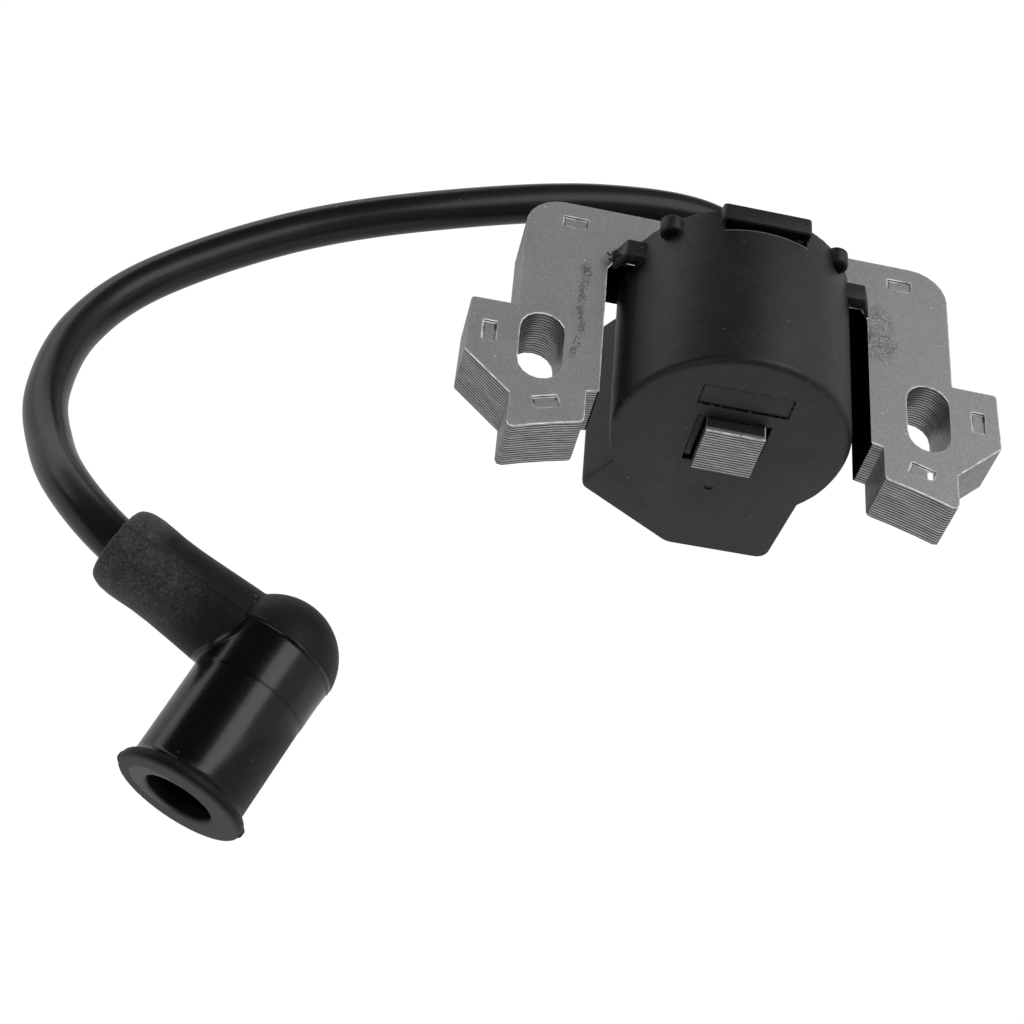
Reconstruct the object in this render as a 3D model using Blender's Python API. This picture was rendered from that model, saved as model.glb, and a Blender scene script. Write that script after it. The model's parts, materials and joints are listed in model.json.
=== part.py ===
"""Magneto ignition coil of a small engine, as an assembly of separate pieces.

Frame: the origin is the middle of the centre pole's face, which looks at the flywheel. +X runs along
the yoke to the right leg, +Y runs from the flywheel towards the yoke, and +Z is square to the
laminations. Dimensions below are in millimetres; the meshes are made in metres.
"""

import math

import bmesh
import bpy
from mathutils import Matrix, Vector

MM = 0.001
CLEAR = 0.3  # gap left between a piece and its neighbour

# Laminated core
PLATES = 17
PLATE_T = 0.55
PLATE_GAP = 0.03
PLATE_PITCH = PLATE_T + PLATE_GAP
STACK_HALF = (PLATES * PLATE_T + (PLATES - 1) * PLATE_GAP) / 2
POLE_R = 100.0  # radius of the flywheel with its air gap
CENTRE_LEG_HALF = 4.93
LEG_IN = 22.65
LEG_OUT = 37.1
POLE_IN = 24.75
POLE_OUT = 37.1
POLE_NOTCH_Y = 3.4
POLE_ROOT_Y = 0.2
EAR_X = 45.0
EAR_FRONT_Y = 7.7
EAR_BACK_Y = 19.4
YOKE_FRONT = 33.4
YOKE_BACK = 45.3
YOKE_CHAMFER = (1.1, 2.0)
CORNER_R = 6.5
POLE_CORNER_R = 0.9
EAR_CORNER_R = 0.6
SLOT_X = 32.66
SLOT_Y = 11.4
SLOT_W = 7.4
SLOT_LENGTH = 14.2
MARK_DEPTH = 0.3
MARK_SIZE = (4.2, 2.2)
POLE_MARK_TILT = math.radians(-18.2)
# centre x, centre y and turn of each interlock mark on the right half of a plate
MARKS = ((28.6, 40.9, 0.0), (41.3, 12.6, math.pi / 2), (31.1, -0.3, POLE_MARK_TILT))

# Coil housing
HOUSING_X = 0.3
HOUSING_R = 19.5
HOUSING_WALL = 1.6
HOUSING_FRONT = 2.6
HOUSING_BACK = 36.4
CHAMBER_RIGHT_ANGLE = math.radians(-39.4)
CHAMBER_LEFT_ANGLE = math.radians(210.0)
CHAMBER_CORNERS = ((-21.3, -17.1), (-3.35, -28.4), (14.4, -28.1))
CHAMBER_INSET = ((-19.0, -17.0), (-3.0, -26.7), (13.1, -26.5))
YOKE_BAND = STACK_HALF + 0.4
WINDOW_X = (-6.3, 5.9)
WINDOW_Z = (-5.9, 5.4)
LABEL_X = (-7.2, 7.7)
LABEL_Z = (8.0, 12.5)
LABEL_DEPTH = 0.25
DIMPLE_X = -0.05
DIMPLE_Z = -11.8
DIMPLE_R = 1.0
BAR_X = (-6.7, 8.4)
BAR_Y = (33.0, 36.4)
BAR_TOP = 20.3
LUG_ANGLES = (math.radians(44), math.radians(136))
LUG_R = 1.9
LUG_RISE = 0.1  # how far a lug's axis lies outside the wall
HOOK_Y = (31.2, 34.8)
HOOK_TOP = 9.5
HOOK_REACH = (22.5, 20.6)  # from the middle plane, at the hook's foot and at its top
WEDGE_Y = (2.9, 26.0)

# Windings
BOBBIN_FRONT = 4.7
BOBBIN_BACK = 26.7
FLANGE_T = 1.0
PRIMARY_WALL = 0.8
PRIMARY_FLANGE = 2.4
PRIMARY_BUILD = 1.3
SECONDARY_IN = 11.7
SECONDARY_WALL = 0.8
SECONDARY_FLANGE_R = 16.6
SECONDARY_FLANGES = 5
SECONDARY_FLANGE_T = 0.8
WINDING_OUT_R = 15.8
BRIDGE_HALF = 0.8

# Back of the coil
POTTING_FRONT = 27.7
POTTING_BACK = 35.9
BOARD_Z = -18.2
BOARD_T = 1.2
BOARD_X = (-12.0, 12.0)
BOARD_Y = (6.0, 25.0)

# Parts under the board: centre on the board and size, or x, length and radius of a turned one
POWER_TRANSISTOR = ((7.0, 17.5), (10.0, 11.0, 4.5))
TRIGGER_CHIP = ((-3.0, 20.0), (5.0, 4.0, 1.7))
FILM_CAPACITOR = ((6.5, 9.0), (8.0, 4.5, 5.5))
BASE_RESISTOR = (-2.6, (7.5, 14.0), 1.2)
CLAMP_DIODE = (-6.6, (7.5, 13.0), 0.6)

# Joining wires
WIRE_OFFSET = 0.4
PRIMARY_WIRE_X = (-3.0, 2.5)
PRIMARY_WIRE_TOP = -7.3
PRIMARY_WIRE_BEND = 0.5
PRIMARY_WIRE_DROP = 0.2
PRIMARY_WIRE_R = 0.22
SECONDARY_WIRE = ((-1.05, -3.3, 1.0), (-0.7, -2.5, -0.2), (-0.5, -0.1, -0.2))
SECONDARY_WIRE_R = 0.2

LEAD_EXIT = (9.0, -15.0)
OUTPUT_PLATE_Y = (27.2, 27.8)
OUTPUT_PLATE_R = 2.3
OUTPUT_SPIKE_Y = (34.4, 35.0)  # where its point starts and ends
STRAP_X = (-12.0, -8.0)
STRAP_Z = -18.4
STRAP_Y = (25.4, 38.0, 43.0)  # its start, its riser and its end
STRAP_BEND = 0.8
STRAP_T = 0.5
TAG_X = (-5.4, -0.6)
TAG_Y = (28.2, 44.5)
TAG_Z = -22.0
TAG_T = 0.8
TAG_CORNER = 0.9
TAG_HOLE_R = 0.8
TAG_HOLE_FROM_TIP = 3.2

# High-tension lead: the centreline's points, from inside the potting to just short of the boot
LEAD_R = 3.5
LEAD_BORE = 1.0
CONDUCTOR_R = 0.7
LEAD_PATH = (
    (9.0, 28.6, -15.0),
    (9.0, 37.0, -15.0),
    (10.0, 51.5, -13.4),
    (0.0, 63.4, -10.5),
    (-22.4, 61.2, -8.6),
    (-51.3, 51.5, -8.7),
    (-75.4, 41.6, -10.9),
    (-96.5, 26.3, -12.2),
    (-106.2, 10.8, -10.9),
    (-108.3, -6.3, -7.5),
    (-105.2, -20.2, -3.3),
    (-99.8, -32.0, 1.9),
)
STRAIGHT_BEFORE_SLEEVE = 4.0
SLEEVE_SHARE_FILLED = 0.6  # how far the lead reaches from the sleeve's end towards the elbow
SWING_POINT = 5  # the lead's point where its sideways bend is hinged
LIFT_POINT = 9  # the lead's point where its up-and-down bend is hinged
FLEX_HALF = 8.0
LEAD_STEP = 7.0
FLEX_STEP = 4.0
SECTION_GAP = 0.15

# Spark-plug boot, in a frame at its elbow: +X along the sleeve, the barrel down towards -Z
ELBOW = Vector((-66.5, -54.4, 0.0))
SLEEVE_END = Vector((-91.3, -42.3, 5.0))
MOUTH = Vector((-76.1, -76.8, -4.5))
SLEEVE_RADII = (
    (0.0, 7.1),
    (8.0, 6.9),
    (15.0, 6.6),
    (20.0, 6.4),
    (24.5, 6.5),
    (27.3, 6.2),
    (28.2, 5.4),
)
SLEEVE_BORE = 3.8
BARREL_R = 8.8
DOME_R = 9.35
DOME_BASE = -0.3
BARREL_BORE = 5.25
BORE_TOP = -4.0
MOUTH_R = 10.0
MOUTH_T = 1.9
CLIP_OUT = 4.2
CLIP_IN = 3.2
CLIP_SPAN = (-3.4, 6.0)
CLIP_CAP_T = 0.8
CLIP_CAP_HOLE = 0.6
SPIKE_R = 0.5
SPIKE_TIP_R = 0.2
SPIKE_SPAN = (3.6, 16.5)
RING_R = 4.62
RING_WIRE = 0.3

ROUND = 32
FINE_ROUND = 64
SMOOTH_ANGLE = math.radians(35)


# ---------------------------------------------------------------- materials

def finish(name, colour, roughness, metallic):
    material = bpy.data.materials.new(name)
    material.use_nodes = True
    shader = material.node_tree.nodes["Principled BSDF"]
    shader.inputs["Base Color"].default_value = (*colour, 1.0)
    shader.inputs["Roughness"].default_value = roughness
    shader.inputs["Metallic"].default_value = metallic
    material.diffuse_color = (*colour, 1.0)
    return material


def lamination_steel():
    return finish("lamination_steel", (0.30, 0.30, 0.31), 0.42, 1.0)


def housing_plastic():
    return finish("housing_plastic", (0.024, 0.024, 0.025), 0.55, 0.0)


def potting_resin():
    return finish("potting_resin", (0.012, 0.012, 0.012), 0.30, 0.0)


def bobbin_plastic():
    return finish("bobbin_plastic", (0.55, 0.52, 0.44), 0.5, 0.0)


def enamelled_copper():
    return finish("enamelled_copper", (0.45, 0.16, 0.06), 0.3, 1.0)


def board_laminate():
    return finish("board_laminate", (0.05, 0.16, 0.07), 0.5, 0.0)


def component_epoxy():
    return finish("component_epoxy", (0.02, 0.02, 0.022), 0.4, 0.0)


def capacitor_film():
    return finish("capacitor_film", (0.45, 0.07, 0.04), 0.4, 0.0)


def resistor_coating():
    return finish("resistor_coating", (0.5, 0.36, 0.2), 0.5, 0.0)


def tinned_brass():
    return finish("tinned_brass", (0.6, 0.55, 0.42), 0.3, 1.0)


def spring_steel():
    return finish("spring_steel", (0.42, 0.42, 0.43), 0.3, 1.0)


def lead_rubber():
    return finish("lead_rubber", (0.010, 0.010, 0.010), 0.22, 0.0)


def boot_rubber():
    return finish("boot_rubber", (0.014, 0.014, 0.014), 0.42, 0.0)


def copper_strand():
    return finish("copper_strand", (0.55, 0.25, 0.12), 0.35, 1.0)


# ---------------------------------------------------------------- shape tools

def arc(centre_x, centre_y, radius, start, end, steps):
    """Points of an arc from the start angle to the end angle, with both ends."""
    angles = [start + (end - start) * i / steps for i in range(steps + 1)]
    return [(centre_x + radius * math.cos(a), centre_y + radius * math.sin(a)) for a in angles]


def rounded_box(x_span, z_span, radius, steps):
    """A rectangle's outline with round corners."""
    (x0, x1), (z0, z1) = x_span, z_span
    corners = ((x1, z1, 0), (x0, z1, 1), (x0, z0, 2), (x1, z0, 3))
    outline = []
    for x, z, quarter in corners:
        centre_x = x - radius if x == x1 else x + radius
        centre_z = z - radius if z == z1 else z + radius
        start = quarter * math.pi / 2
        outline += arc(centre_x, centre_z, radius, start, start + math.pi / 2, steps)
    return outline


def metres(x, y, z):
    return Vector((x, y, z)) * MM


def skin(rings, looped=False):
    """A closed body through rings of points. A looped skin joins its last ring to its first."""
    bm = bmesh.new()
    loops = [[bm.verts.new(metres(*point)) for point in ring] for ring in rings]
    pairs = list(zip(loops, loops[1:]))
    if looped:
        pairs.append((loops[-1], loops[0]))
    else:
        bm.faces.new(loops[0])
        bm.faces.new(loops[-1])
    for first, second in pairs:
        for i in range(len(first)):
            j = (i + 1) % len(first)
            bm.faces.new((first[i], first[j], second[j], second[i]))
    bmesh.ops.recalc_face_normals(bm, faces=bm.faces)
    return bm


def prism_z(outline, z0, z1):
    return skin([[(x, y, z) for x, y in outline] for z in (z0, z1)])


def prism_y(outline, y0, y1):
    return skin([[(x, y, z) for x, z in outline] for y in (y0, y1)])


def box(x_span, y_span, z_span):
    (x0, x1), (y0, y1) = x_span, y_span
    return prism_z([(x0, y0), (x1, y0), (x1, y1), (x0, y1)], *z_span)


def circle_about_y(x, y, z, radius, sides):
    return [(x + px, y, z + pz) for px, pz in arc(0, 0, radius, 0, 2 * math.pi, sides)[:-1]]


def turned_y(x, z, profile, sides, looped=False):
    """A body turned about an axis along Y. The profile is pairs of y and radius."""
    return skin([circle_about_y(x, y, z, radius, sides) for y, radius in profile], looped)


def turned_along(direction, profile, sides, looped=False):
    """A body turned about a line through the frame's origin. The profile is pairs of distance and radius."""
    side = direction.cross(Vector((0, 1, 0))).normalized()
    other = direction.cross(side)
    rings = []
    for distance, radius in profile:
        circle = arc(0, 0, radius, 0, 2 * math.pi, sides)[:-1]
        rings.append([direction * distance + side * u + other * v for u, v in circle])
    return skin(rings, looped)


def merged(*bodies):
    """One bmesh that holds several separate bodies."""
    bm = bodies[0]
    for body in bodies[1:]:
        mesh = bpy.data.meshes.new("joined")
        body.to_mesh(mesh)
        bm.from_mesh(mesh)
        bpy.data.meshes.remove(mesh)
    return bm


# ---------------------------------------------------------------- object tools

def clear_scene():
    for obj in list(bpy.data.objects):
        bpy.data.objects.remove(obj)


def link(name, mesh, pivot=None):
    obj = bpy.data.objects.new(name, mesh)
    bpy.context.scene.collection.objects.link(obj)
    if pivot is not None:
        obj.parent = pivot
    return obj


def mesh_of(name, bm):
    mesh = bpy.data.meshes.new(name)
    bm.to_mesh(mesh)
    bm.free()
    mesh.shade_smooth()
    mesh.set_sharp_from_angle(angle=SMOOTH_ANGLE)
    return mesh


def piece(name, bm, material, pivot=None):
    """An object for one sub-part. The shape is given in the frame of its pivot."""
    mesh = mesh_of(name, bm)
    mesh.materials.append(material)
    return link(name, mesh, pivot)


def world_piece(name, bm, material, pivot):
    """A sub-part shaped in the coil's frame and carried by a pivot that stands on its joint's axis."""
    bmesh.ops.translate(bm, verts=bm.verts, vec=-pivot.location)
    return piece(name, bm, material, pivot)


def helper(name, bm, pivot=None):
    """A shape that only cuts or joins others, and isn't a sub-part itself."""
    obj = link(name, mesh_of(name, bm), pivot)
    obj.hide_render = True
    obj.display_type = "WIRE"
    return obj


def combine(obj, other, operation):
    modifier = obj.modifiers.new(operation.lower(), "BOOLEAN")
    modifier.operation = operation
    modifier.solver = "EXACT"
    modifier.object = other


def cut(obj, *cutters):
    for cutter in cutters:
        combine(obj, cutter, "DIFFERENCE")


def pivot_at(name, location, rotation=None):
    empty = bpy.data.objects.new(name, None)
    bpy.context.scene.collection.objects.link(empty)
    empty.empty_display_size = 0.01
    empty.location = location
    if rotation is not None:
        empty.rotation_euler = rotation.to_euler()
    return empty


# ---------------------------------------------------------------- laminated core

def pole_y(x):
    """The pole faces lie on one circle about the flywheel's axis."""
    return math.sqrt(POLE_R**2 - x**2) - POLE_R


def soft_corner(before, corner, after, radius):
    """Three points that round off the corner between two straight sides."""
    before, corner, after = Vector(before), Vector(corner), Vector(after)
    into = (corner - before).normalized()
    out = (after - corner).normalized()
    half_turn = into.angle(out) / 2
    reach = radius * math.tan(half_turn)
    middle = (out - into).normalized() * radius * (1 / math.cos(half_turn) - 1)
    return [tuple(point) for point in (corner - into * reach, corner + middle, corner + out * reach)]


def half_plate():
    """The right half of an E plate, from the centre leg's face round to the middle of the back edge."""
    points = [(CENTRE_LEG_HALF, 0.0), (CENTRE_LEG_HALF, YOKE_FRONT)]
    points.append((LEG_IN - YOKE_CHAMFER[0], YOKE_FRONT))
    points.append((LEG_IN, YOKE_FRONT - YOKE_CHAMFER[1]))
    points.append((LEG_IN, POLE_NOTCH_Y + 0.5))
    points.append((POLE_IN, POLE_NOTCH_Y))
    steps = 3
    face_x = [POLE_IN + (POLE_OUT - POLE_IN) * i / steps for i in range(steps + 1)]
    face = [(x, pole_y(x)) for x in face_x]
    root = (POLE_OUT, POLE_ROOT_Y)
    ear_front = (EAR_X, EAR_FRONT_Y)
    ear_back = (EAR_X - 0.2, EAR_BACK_Y)
    ear_root = (LEG_OUT, EAR_BACK_Y + 0.1)
    points += soft_corner(points[-1], face[0], face[1], POLE_CORNER_R)
    points += face[1:-1]
    points += soft_corner(face[-2], face[-1], root, POLE_CORNER_R)
    points.append(root)
    points += soft_corner(root, ear_front, ear_back, EAR_CORNER_R)
    points += soft_corner(ear_front, ear_back, ear_root, EAR_CORNER_R)
    points.append(ear_root)
    points += arc(LEG_OUT - CORNER_R, YOKE_BACK - CORNER_R, CORNER_R, 0, math.pi / 2, 6)
    return points


def plate_outline():
    right = half_plate()
    left = [(-x, y) for x, y in reversed(right)]
    return right + left


def slot_outline(x):
    """A slot with full-round ends, long in Y."""
    radius = SLOT_W / 2
    reach = SLOT_LENGTH / 2 - radius
    front = arc(x, SLOT_Y - reach, radius, math.pi, 2 * math.pi, 8)
    back = arc(x, SLOT_Y + reach, radius, 0, math.pi, 8)
    return front + back


def mark_box(x, y, turn):
    """A block over one interlock mark, as deep as the mark is pressed in."""
    bm = box(
        (-MARK_SIZE[0] / 2, MARK_SIZE[0] / 2),
        (-MARK_SIZE[1] / 2, MARK_SIZE[1] / 2),
        (PLATE_T / 2 - MARK_DEPTH, PLATE_T),
    )
    place = Matrix.Translation(metres(x, y, 0)) @ Matrix.Rotation(turn, 4, "Z")
    bmesh.ops.transform(bm, matrix=place, verts=bm.verts)
    return bm


def laminations(steel):
    """The stack, with lamination_01 on top and the middle plate at the frame's height."""
    reach = STACK_HALF + 1
    slots = helper(
        "slot_cutter",
        merged(*[prism_z(slot_outline(x), -reach, reach) for x in (-SLOT_X, SLOT_X)]),
    )
    top_z = STACK_HALF - PLATE_T / 2
    marks = merged(*[mark_box(s * x, y, s * turn) for x, y, turn in MARKS for s in (-1, 1)])
    mark_cutter = helper("mark_cutter", marks)
    mark_cutter.location.z = top_z * MM
    plate = mesh_of("lamination", prism_z(plate_outline(), -PLATE_T / 2, PLATE_T / 2))
    plate.materials.append(steel)
    for number in range(PLATES):
        obj = link(f"lamination_{number + 1:02d}", plate)
        obj.location.z = (top_z - number * PLATE_PITCH) * MM
        cut(obj, slots)
        if number == 0:
            cut(obj, mark_cutter)


# ---------------------------------------------------------------- housing and potting

def housing_section(radius, corners, sides):
    """Cross-section: most of a circle, with the module chamber's corners below it."""
    sweep = CHAMBER_LEFT_ANGLE - CHAMBER_RIGHT_ANGLE
    steps = round(sides * sweep / (2 * math.pi))
    round_part = arc(HOUSING_X, 0, radius, CHAMBER_RIGHT_ANGLE, CHAMBER_LEFT_ANGLE, steps)
    return round_part + list(corners)


def yoke_band(y0):
    """The space that the yoke crosses behind the windings."""
    return box((-30, 30), (y0, HOUSING_BACK + 5), (-YOKE_BAND, YOKE_BAND))


def housing_additions():
    """The flat bar, the two round lugs and the two hooks on the back rim."""
    bar = box(BAR_X, BAR_Y, (HOUSING_R - 3, BAR_TOP))
    lugs = []
    lug_reach = HOUSING_R + LUG_RISE
    for angle in LUG_ANGLES:
        x = HOUSING_X + lug_reach * math.cos(angle)
        z = lug_reach * math.sin(angle)
        lugs.append(turned_y(x, z, ((BAR_Y[0], LUG_R), (HOUSING_BACK, LUG_R)), 12))
    foot, top = HOOK_REACH
    root = HOUSING_R - 3
    hook = ((root, YOKE_BAND), (foot, YOKE_BAND), (top, HOOK_TOP), (root, HOOK_TOP))
    hooks = [prism_y([(HOUSING_X + side * x, z) for x, z in hook], *HOOK_Y) for side in (-1, 1)]
    return bar, *lugs, *hooks


def coil_housing(plastic):
    outer = housing_section(HOUSING_R, CHAMBER_CORNERS, FINE_ROUND)
    inner = housing_section(HOUSING_R - HOUSING_WALL, CHAMBER_INSET, FINE_ROUND)
    shell = piece("coil_housing", prism_y(outer, HOUSING_FRONT, HOUSING_BACK), plastic)
    for number, addition in enumerate(housing_additions()):
        combine(shell, helper(f"rim_addition_{number}", addition), "UNION")
    cavity = helper("cavity_cutter", prism_y(inner, HOUSING_FRONT + HOUSING_WALL, HOUSING_BACK + 5))
    window = helper("window_cutter", box(WINDOW_X, (0, BOBBIN_FRONT), WINDOW_Z))
    label = box(LABEL_X, (0, HOUSING_FRONT + LABEL_DEPTH), LABEL_Z)
    dimple_profile = ((0, DIMPLE_R), (HOUSING_FRONT + LABEL_DEPTH, DIMPLE_R))
    dimple = turned_y(DIMPLE_X, DIMPLE_Z, dimple_profile, 12)
    front_marks = helper("front_mark_cutter", merged(label, dimple))
    band = helper("band_cutter", yoke_band(YOKE_FRONT - 0.4))
    cut(shell, cavity, window, front_marks, band)


def potting_compound(resin):
    inner = housing_section(HOUSING_R - HOUSING_WALL - CLEAR, potting_corners(), FINE_ROUND)
    plug = piece("potting_compound", prism_y(inner, POTTING_FRONT, POTTING_BACK), resin)
    band = helper("potting_band_cutter", yoke_band(YOKE_FRONT - 0.7))
    tunnel = box(
        (-CENTRE_LEG_HALF - CLEAR, CENTRE_LEG_HALF + CLEAR),
        (POTTING_FRONT - 1, POTTING_BACK + 1),
        (-STACK_HALF - CLEAR, STACK_HALF + CLEAR),
    )
    hole_r = LEAD_R + CLEAR
    hole_profile = ((POTTING_FRONT - 1, hole_r), (POTTING_BACK + 1, hole_r))
    lead_hole = turned_y(*LEAD_EXIT, hole_profile, ROUND)
    strap_hole = passage(STRAP_X, STRAP_Z, STRAP_T)
    tag_hole = passage(TAG_X, TAG_Z, TAG_T)
    openings = helper("potting_cutter", merged(tunnel, lead_hole, strap_hole, tag_hole))
    cut(plug, band, openings)


def potting_corners():
    """The chamber's inner corners, drawn in by the clearance."""
    (left_x, left_z), (low_x, low_z), (right_x, right_z) = CHAMBER_INSET
    return (
        (left_x + 2 * CLEAR, left_z + CLEAR / 2),
        (low_x, low_z + CLEAR * 1.2),
        (right_x - CLEAR * 1.2, right_z + CLEAR * 1.2),
    )


def passage(x_span, z, thickness):
    """A hole through the potting for a flat strip."""
    y_span = (POTTING_FRONT - 1, POTTING_BACK + 1)
    z_span = (z - thickness / 2 - CLEAR, z + thickness / 2 + CLEAR)
    return box((x_span[0] - CLEAR, x_span[1] + CLEAR), y_span, z_span)


def core_wedge(plastic):
    """The filler strip that takes up the slack between the centre leg and the window."""
    gap = 0.2
    x_span = (WINDOW_X[0] + gap, -CENTRE_LEG_HALF - gap)
    piece("core_wedge", box(x_span, WEDGE_Y, (-STACK_HALF, STACK_HALF)), plastic)


# ---------------------------------------------------------------- windings

def widened(amount, corner):
    """The window's outline, widened all round and with round corners."""
    x_span = (WINDOW_X[0] - amount, WINDOW_X[1] + amount)
    z_span = (WINDOW_Z[0] - amount, WINDOW_Z[1] + amount)
    return rounded_box(x_span, z_span, corner, 3)


def looped_prism(steps):
    """A ring-shaped body through outlines, given as pairs of y and outline."""
    return skin([[(x, y, z) for x, z in outline] for y, outline in steps], looped=True)


def primary_bobbin(plastic):
    hole = widened(0, 0.3)
    tube_wall = widened(PRIMARY_WALL, 0.8)
    flange = widened(PRIMARY_FLANGE, 3.0)
    front_flange_end = BOBBIN_FRONT + FLANGE_T
    back_flange_start = BOBBIN_BACK - FLANGE_T
    steps = (
        (BOBBIN_FRONT, flange),
        (front_flange_end, flange),
        (front_flange_end, tube_wall),
        (back_flange_start, tube_wall),
        (back_flange_start, flange),
        (BOBBIN_BACK, flange),
        (BOBBIN_BACK, hole),
        (BOBBIN_FRONT, hole),
    )
    piece("primary_bobbin", looped_prism(steps), plastic)


def primary_winding(copper):
    front = BOBBIN_FRONT + FLANGE_T + CLEAR
    back = BOBBIN_BACK - FLANGE_T - CLEAR
    inner = widened(PRIMARY_WALL + CLEAR, 1.0)
    outer = widened(PRIMARY_WALL + CLEAR + PRIMARY_BUILD, 2.5)
    steps = ((front, outer), (back, outer), (back, inner), (front, inner))
    piece("primary_winding", looped_prism(steps), copper)


def flange_starts():
    """Where each flange of the secondary bobbin begins along Y."""
    span = BOBBIN_BACK - BOBBIN_FRONT - SECONDARY_FLANGE_T
    return [BOBBIN_FRONT + span * i / (SECONDARY_FLANGES - 1) for i in range(SECONDARY_FLANGES)]


def secondary_bobbin(plastic):
    """A round tube with flanges that split the winding into sections, notched where the wire crosses."""
    tube_r = SECONDARY_IN + SECONDARY_WALL
    profile = []
    for start in flange_starts():
        end = start + SECONDARY_FLANGE_T
        profile += [(start, tube_r), (start, SECONDARY_FLANGE_R), (end, SECONDARY_FLANGE_R), (end, tube_r)]
    profile = profile[1:-1] + [(BOBBIN_BACK, SECONDARY_IN), (BOBBIN_FRONT, SECONDARY_IN)]
    bobbin = piece("secondary_bobbin", turned_y(HOUSING_X, 0, profile, ROUND, looped=True), plastic)
    half = BRIDGE_HALF + CLEAR
    starts = flange_starts()
    notch = box(
        (HOUSING_X - half, HOUSING_X + half),
        (starts[1] - 1, starts[-2] + SECONDARY_FLANGE_T + 1),
        (tube_r + CLEAR, SECONDARY_FLANGE_R + 1),
    )
    cut(bobbin, helper("notch_cutter", notch))


def secondary_winding(copper):
    """Wound sections between the flanges, joined by the wire that crosses each notch."""
    starts = flange_starts()
    inner_r = SECONDARY_IN + SECONDARY_WALL + CLEAR
    sections = []
    for left, right in zip(starts, starts[1:]):
        y0 = left + SECONDARY_FLANGE_T + CLEAR
        y1 = right - CLEAR
        profile = ((y0, WINDING_OUT_R), (y1, WINDING_OUT_R), (y1, inner_r), (y0, inner_r))
        sections.append(turned_y(HOUSING_X, 0, profile, ROUND, looped=True))
    bridge = box(
        (HOUSING_X - BRIDGE_HALF, HOUSING_X + BRIDGE_HALF),
        (starts[1] - 1, starts[-2] + SECONDARY_FLANGE_T + 1),
        (inner_r + 1, WINDING_OUT_R - 0.5),
    )
    winding = piece("secondary_winding", bridge, copper)
    combine(winding, helper("winding_sections", merged(*sections)), "UNION")


# ---------------------------------------------------------------- electronics and terminals

def circuit_board(laminate):
    z_span = (BOARD_Z - BOARD_T / 2, BOARD_Z + BOARD_T / 2)
    piece("circuit_board", box(BOARD_X, BOARD_Y, z_span), laminate)


def under_board(name, centre, size, material):
    """A square component that hangs under the board."""
    top = BOARD_Z - BOARD_T / 2 - CLEAR
    (x, y), (width, depth, height) = centre, size
    x_span = (x - width / 2, x + width / 2)
    y_span = (y - depth / 2, y + depth / 2)
    piece(name, box(x_span, y_span, (top - height, top)), material)


def barrel_component(name, x, y_span, radius, material):
    """A round component lying under the board, along Y."""
    z = BOARD_Z - BOARD_T / 2 - CLEAR - radius
    end = radius * 0.75
    y0, y1 = y_span
    shoulder = 0.4
    profile = ((y0, end), (y0 + shoulder, radius), (y1 - shoulder, radius), (y1, end))
    piece(name, turned_y(x, z, profile, 12), material)


def electronics(laminate, epoxy, film, coating):
    circuit_board(laminate)
    under_board("power_transistor", *POWER_TRANSISTOR, epoxy)
    under_board("trigger_chip", *TRIGGER_CHIP, epoxy)
    under_board("film_capacitor", *FILM_CAPACITOR, film)
    barrel_component("base_resistor", *BASE_RESISTOR, coating)
    barrel_component("clamp_diode", *CLAMP_DIODE, epoxy)


def bent_strip(name, x_span, centreline, thickness, material):
    """A flat strip bent along points of Y and Z."""
    points = [Vector(point) for point in centreline]
    above = []
    below = []
    for i, point in enumerate(points):
        before = points[max(i - 1, 0)]
        after = points[min(i + 1, len(points) - 1)]
        along = (after - before).normalized()
        arm = Vector((-along.y, along.x)) * thickness / 2
        if 0 < i < len(points) - 1:
            arm *= 1 / math.cos((after - point).angle(point - before) / 2)
        above.append(point + arm)
        below.append(point - arm)
    outline = above + below[::-1]
    return piece(name, skin([[(x, p.x, p.y) for p in outline] for x in x_span]), material)


def ground_strap(brass):
    """Runs out of the potting and bears on the yoke's underside."""
    seat_z = -STACK_HALF - CLEAR - STRAP_T / 2
    start, riser, end = STRAP_Y
    path = (
        (start, STRAP_Z),
        (riser - STRAP_BEND, STRAP_Z),
        (riser, STRAP_Z + STRAP_BEND),
        (riser, seat_z - STRAP_BEND),
        (riser + STRAP_BEND, seat_z),
        (end, seat_z),
    )
    bent_strip("ground_strap", STRAP_X, path, STRAP_T, brass)


def kill_terminal(brass):
    """The blade that the stop switch's wire pushes onto."""
    x0, x1 = TAG_X
    root, tip = TAG_Y
    outline = [
        (x0, root),
        (x1, root),
        (x1, tip - TAG_CORNER),
        (x1 - TAG_CORNER, tip),
        (x0 + TAG_CORNER, tip),
        (x0, tip - TAG_CORNER),
    ]
    blade = piece("kill_terminal", prism_z(outline, TAG_Z - TAG_T / 2, TAG_Z + TAG_T / 2), brass)
    circle = arc((x0 + x1) / 2, tip - TAG_HOLE_FROM_TIP, TAG_HOLE_R, 0, 2 * math.pi, 12)[:-1]
    hole = prism_z(circle, TAG_Z - TAG_T, TAG_Z + TAG_T)
    cut(blade, helper("tag_hole_cutter", hole))


def high_tension_terminal(brass):
    """A plate at the winding's output with a spike up the lead's core."""
    x, z = LEAD_EXIT
    y0, y1 = OUTPUT_PLATE_Y
    taper, tip = OUTPUT_SPIKE_Y
    plate = ((y0, OUTPUT_PLATE_R), (y1, OUTPUT_PLATE_R))
    profile = (*plate, (y1, SPIKE_R), (taper, SPIKE_R), (tip, SPIKE_TIP_R))
    piece("high_tension_terminal", turned_y(x, z, profile, 16), brass)


def wire(name, path, radius, material):
    points = [Vector(point) for point in path]
    stations = []
    for i, point in enumerate(points):
        direction = points[min(i + 1, len(points) - 1)] - points[max(i - 1, 0)]
        stations.append((point, direction.normalized()))
    piece(name, tube(stations, radius, 0, 6), material)


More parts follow.
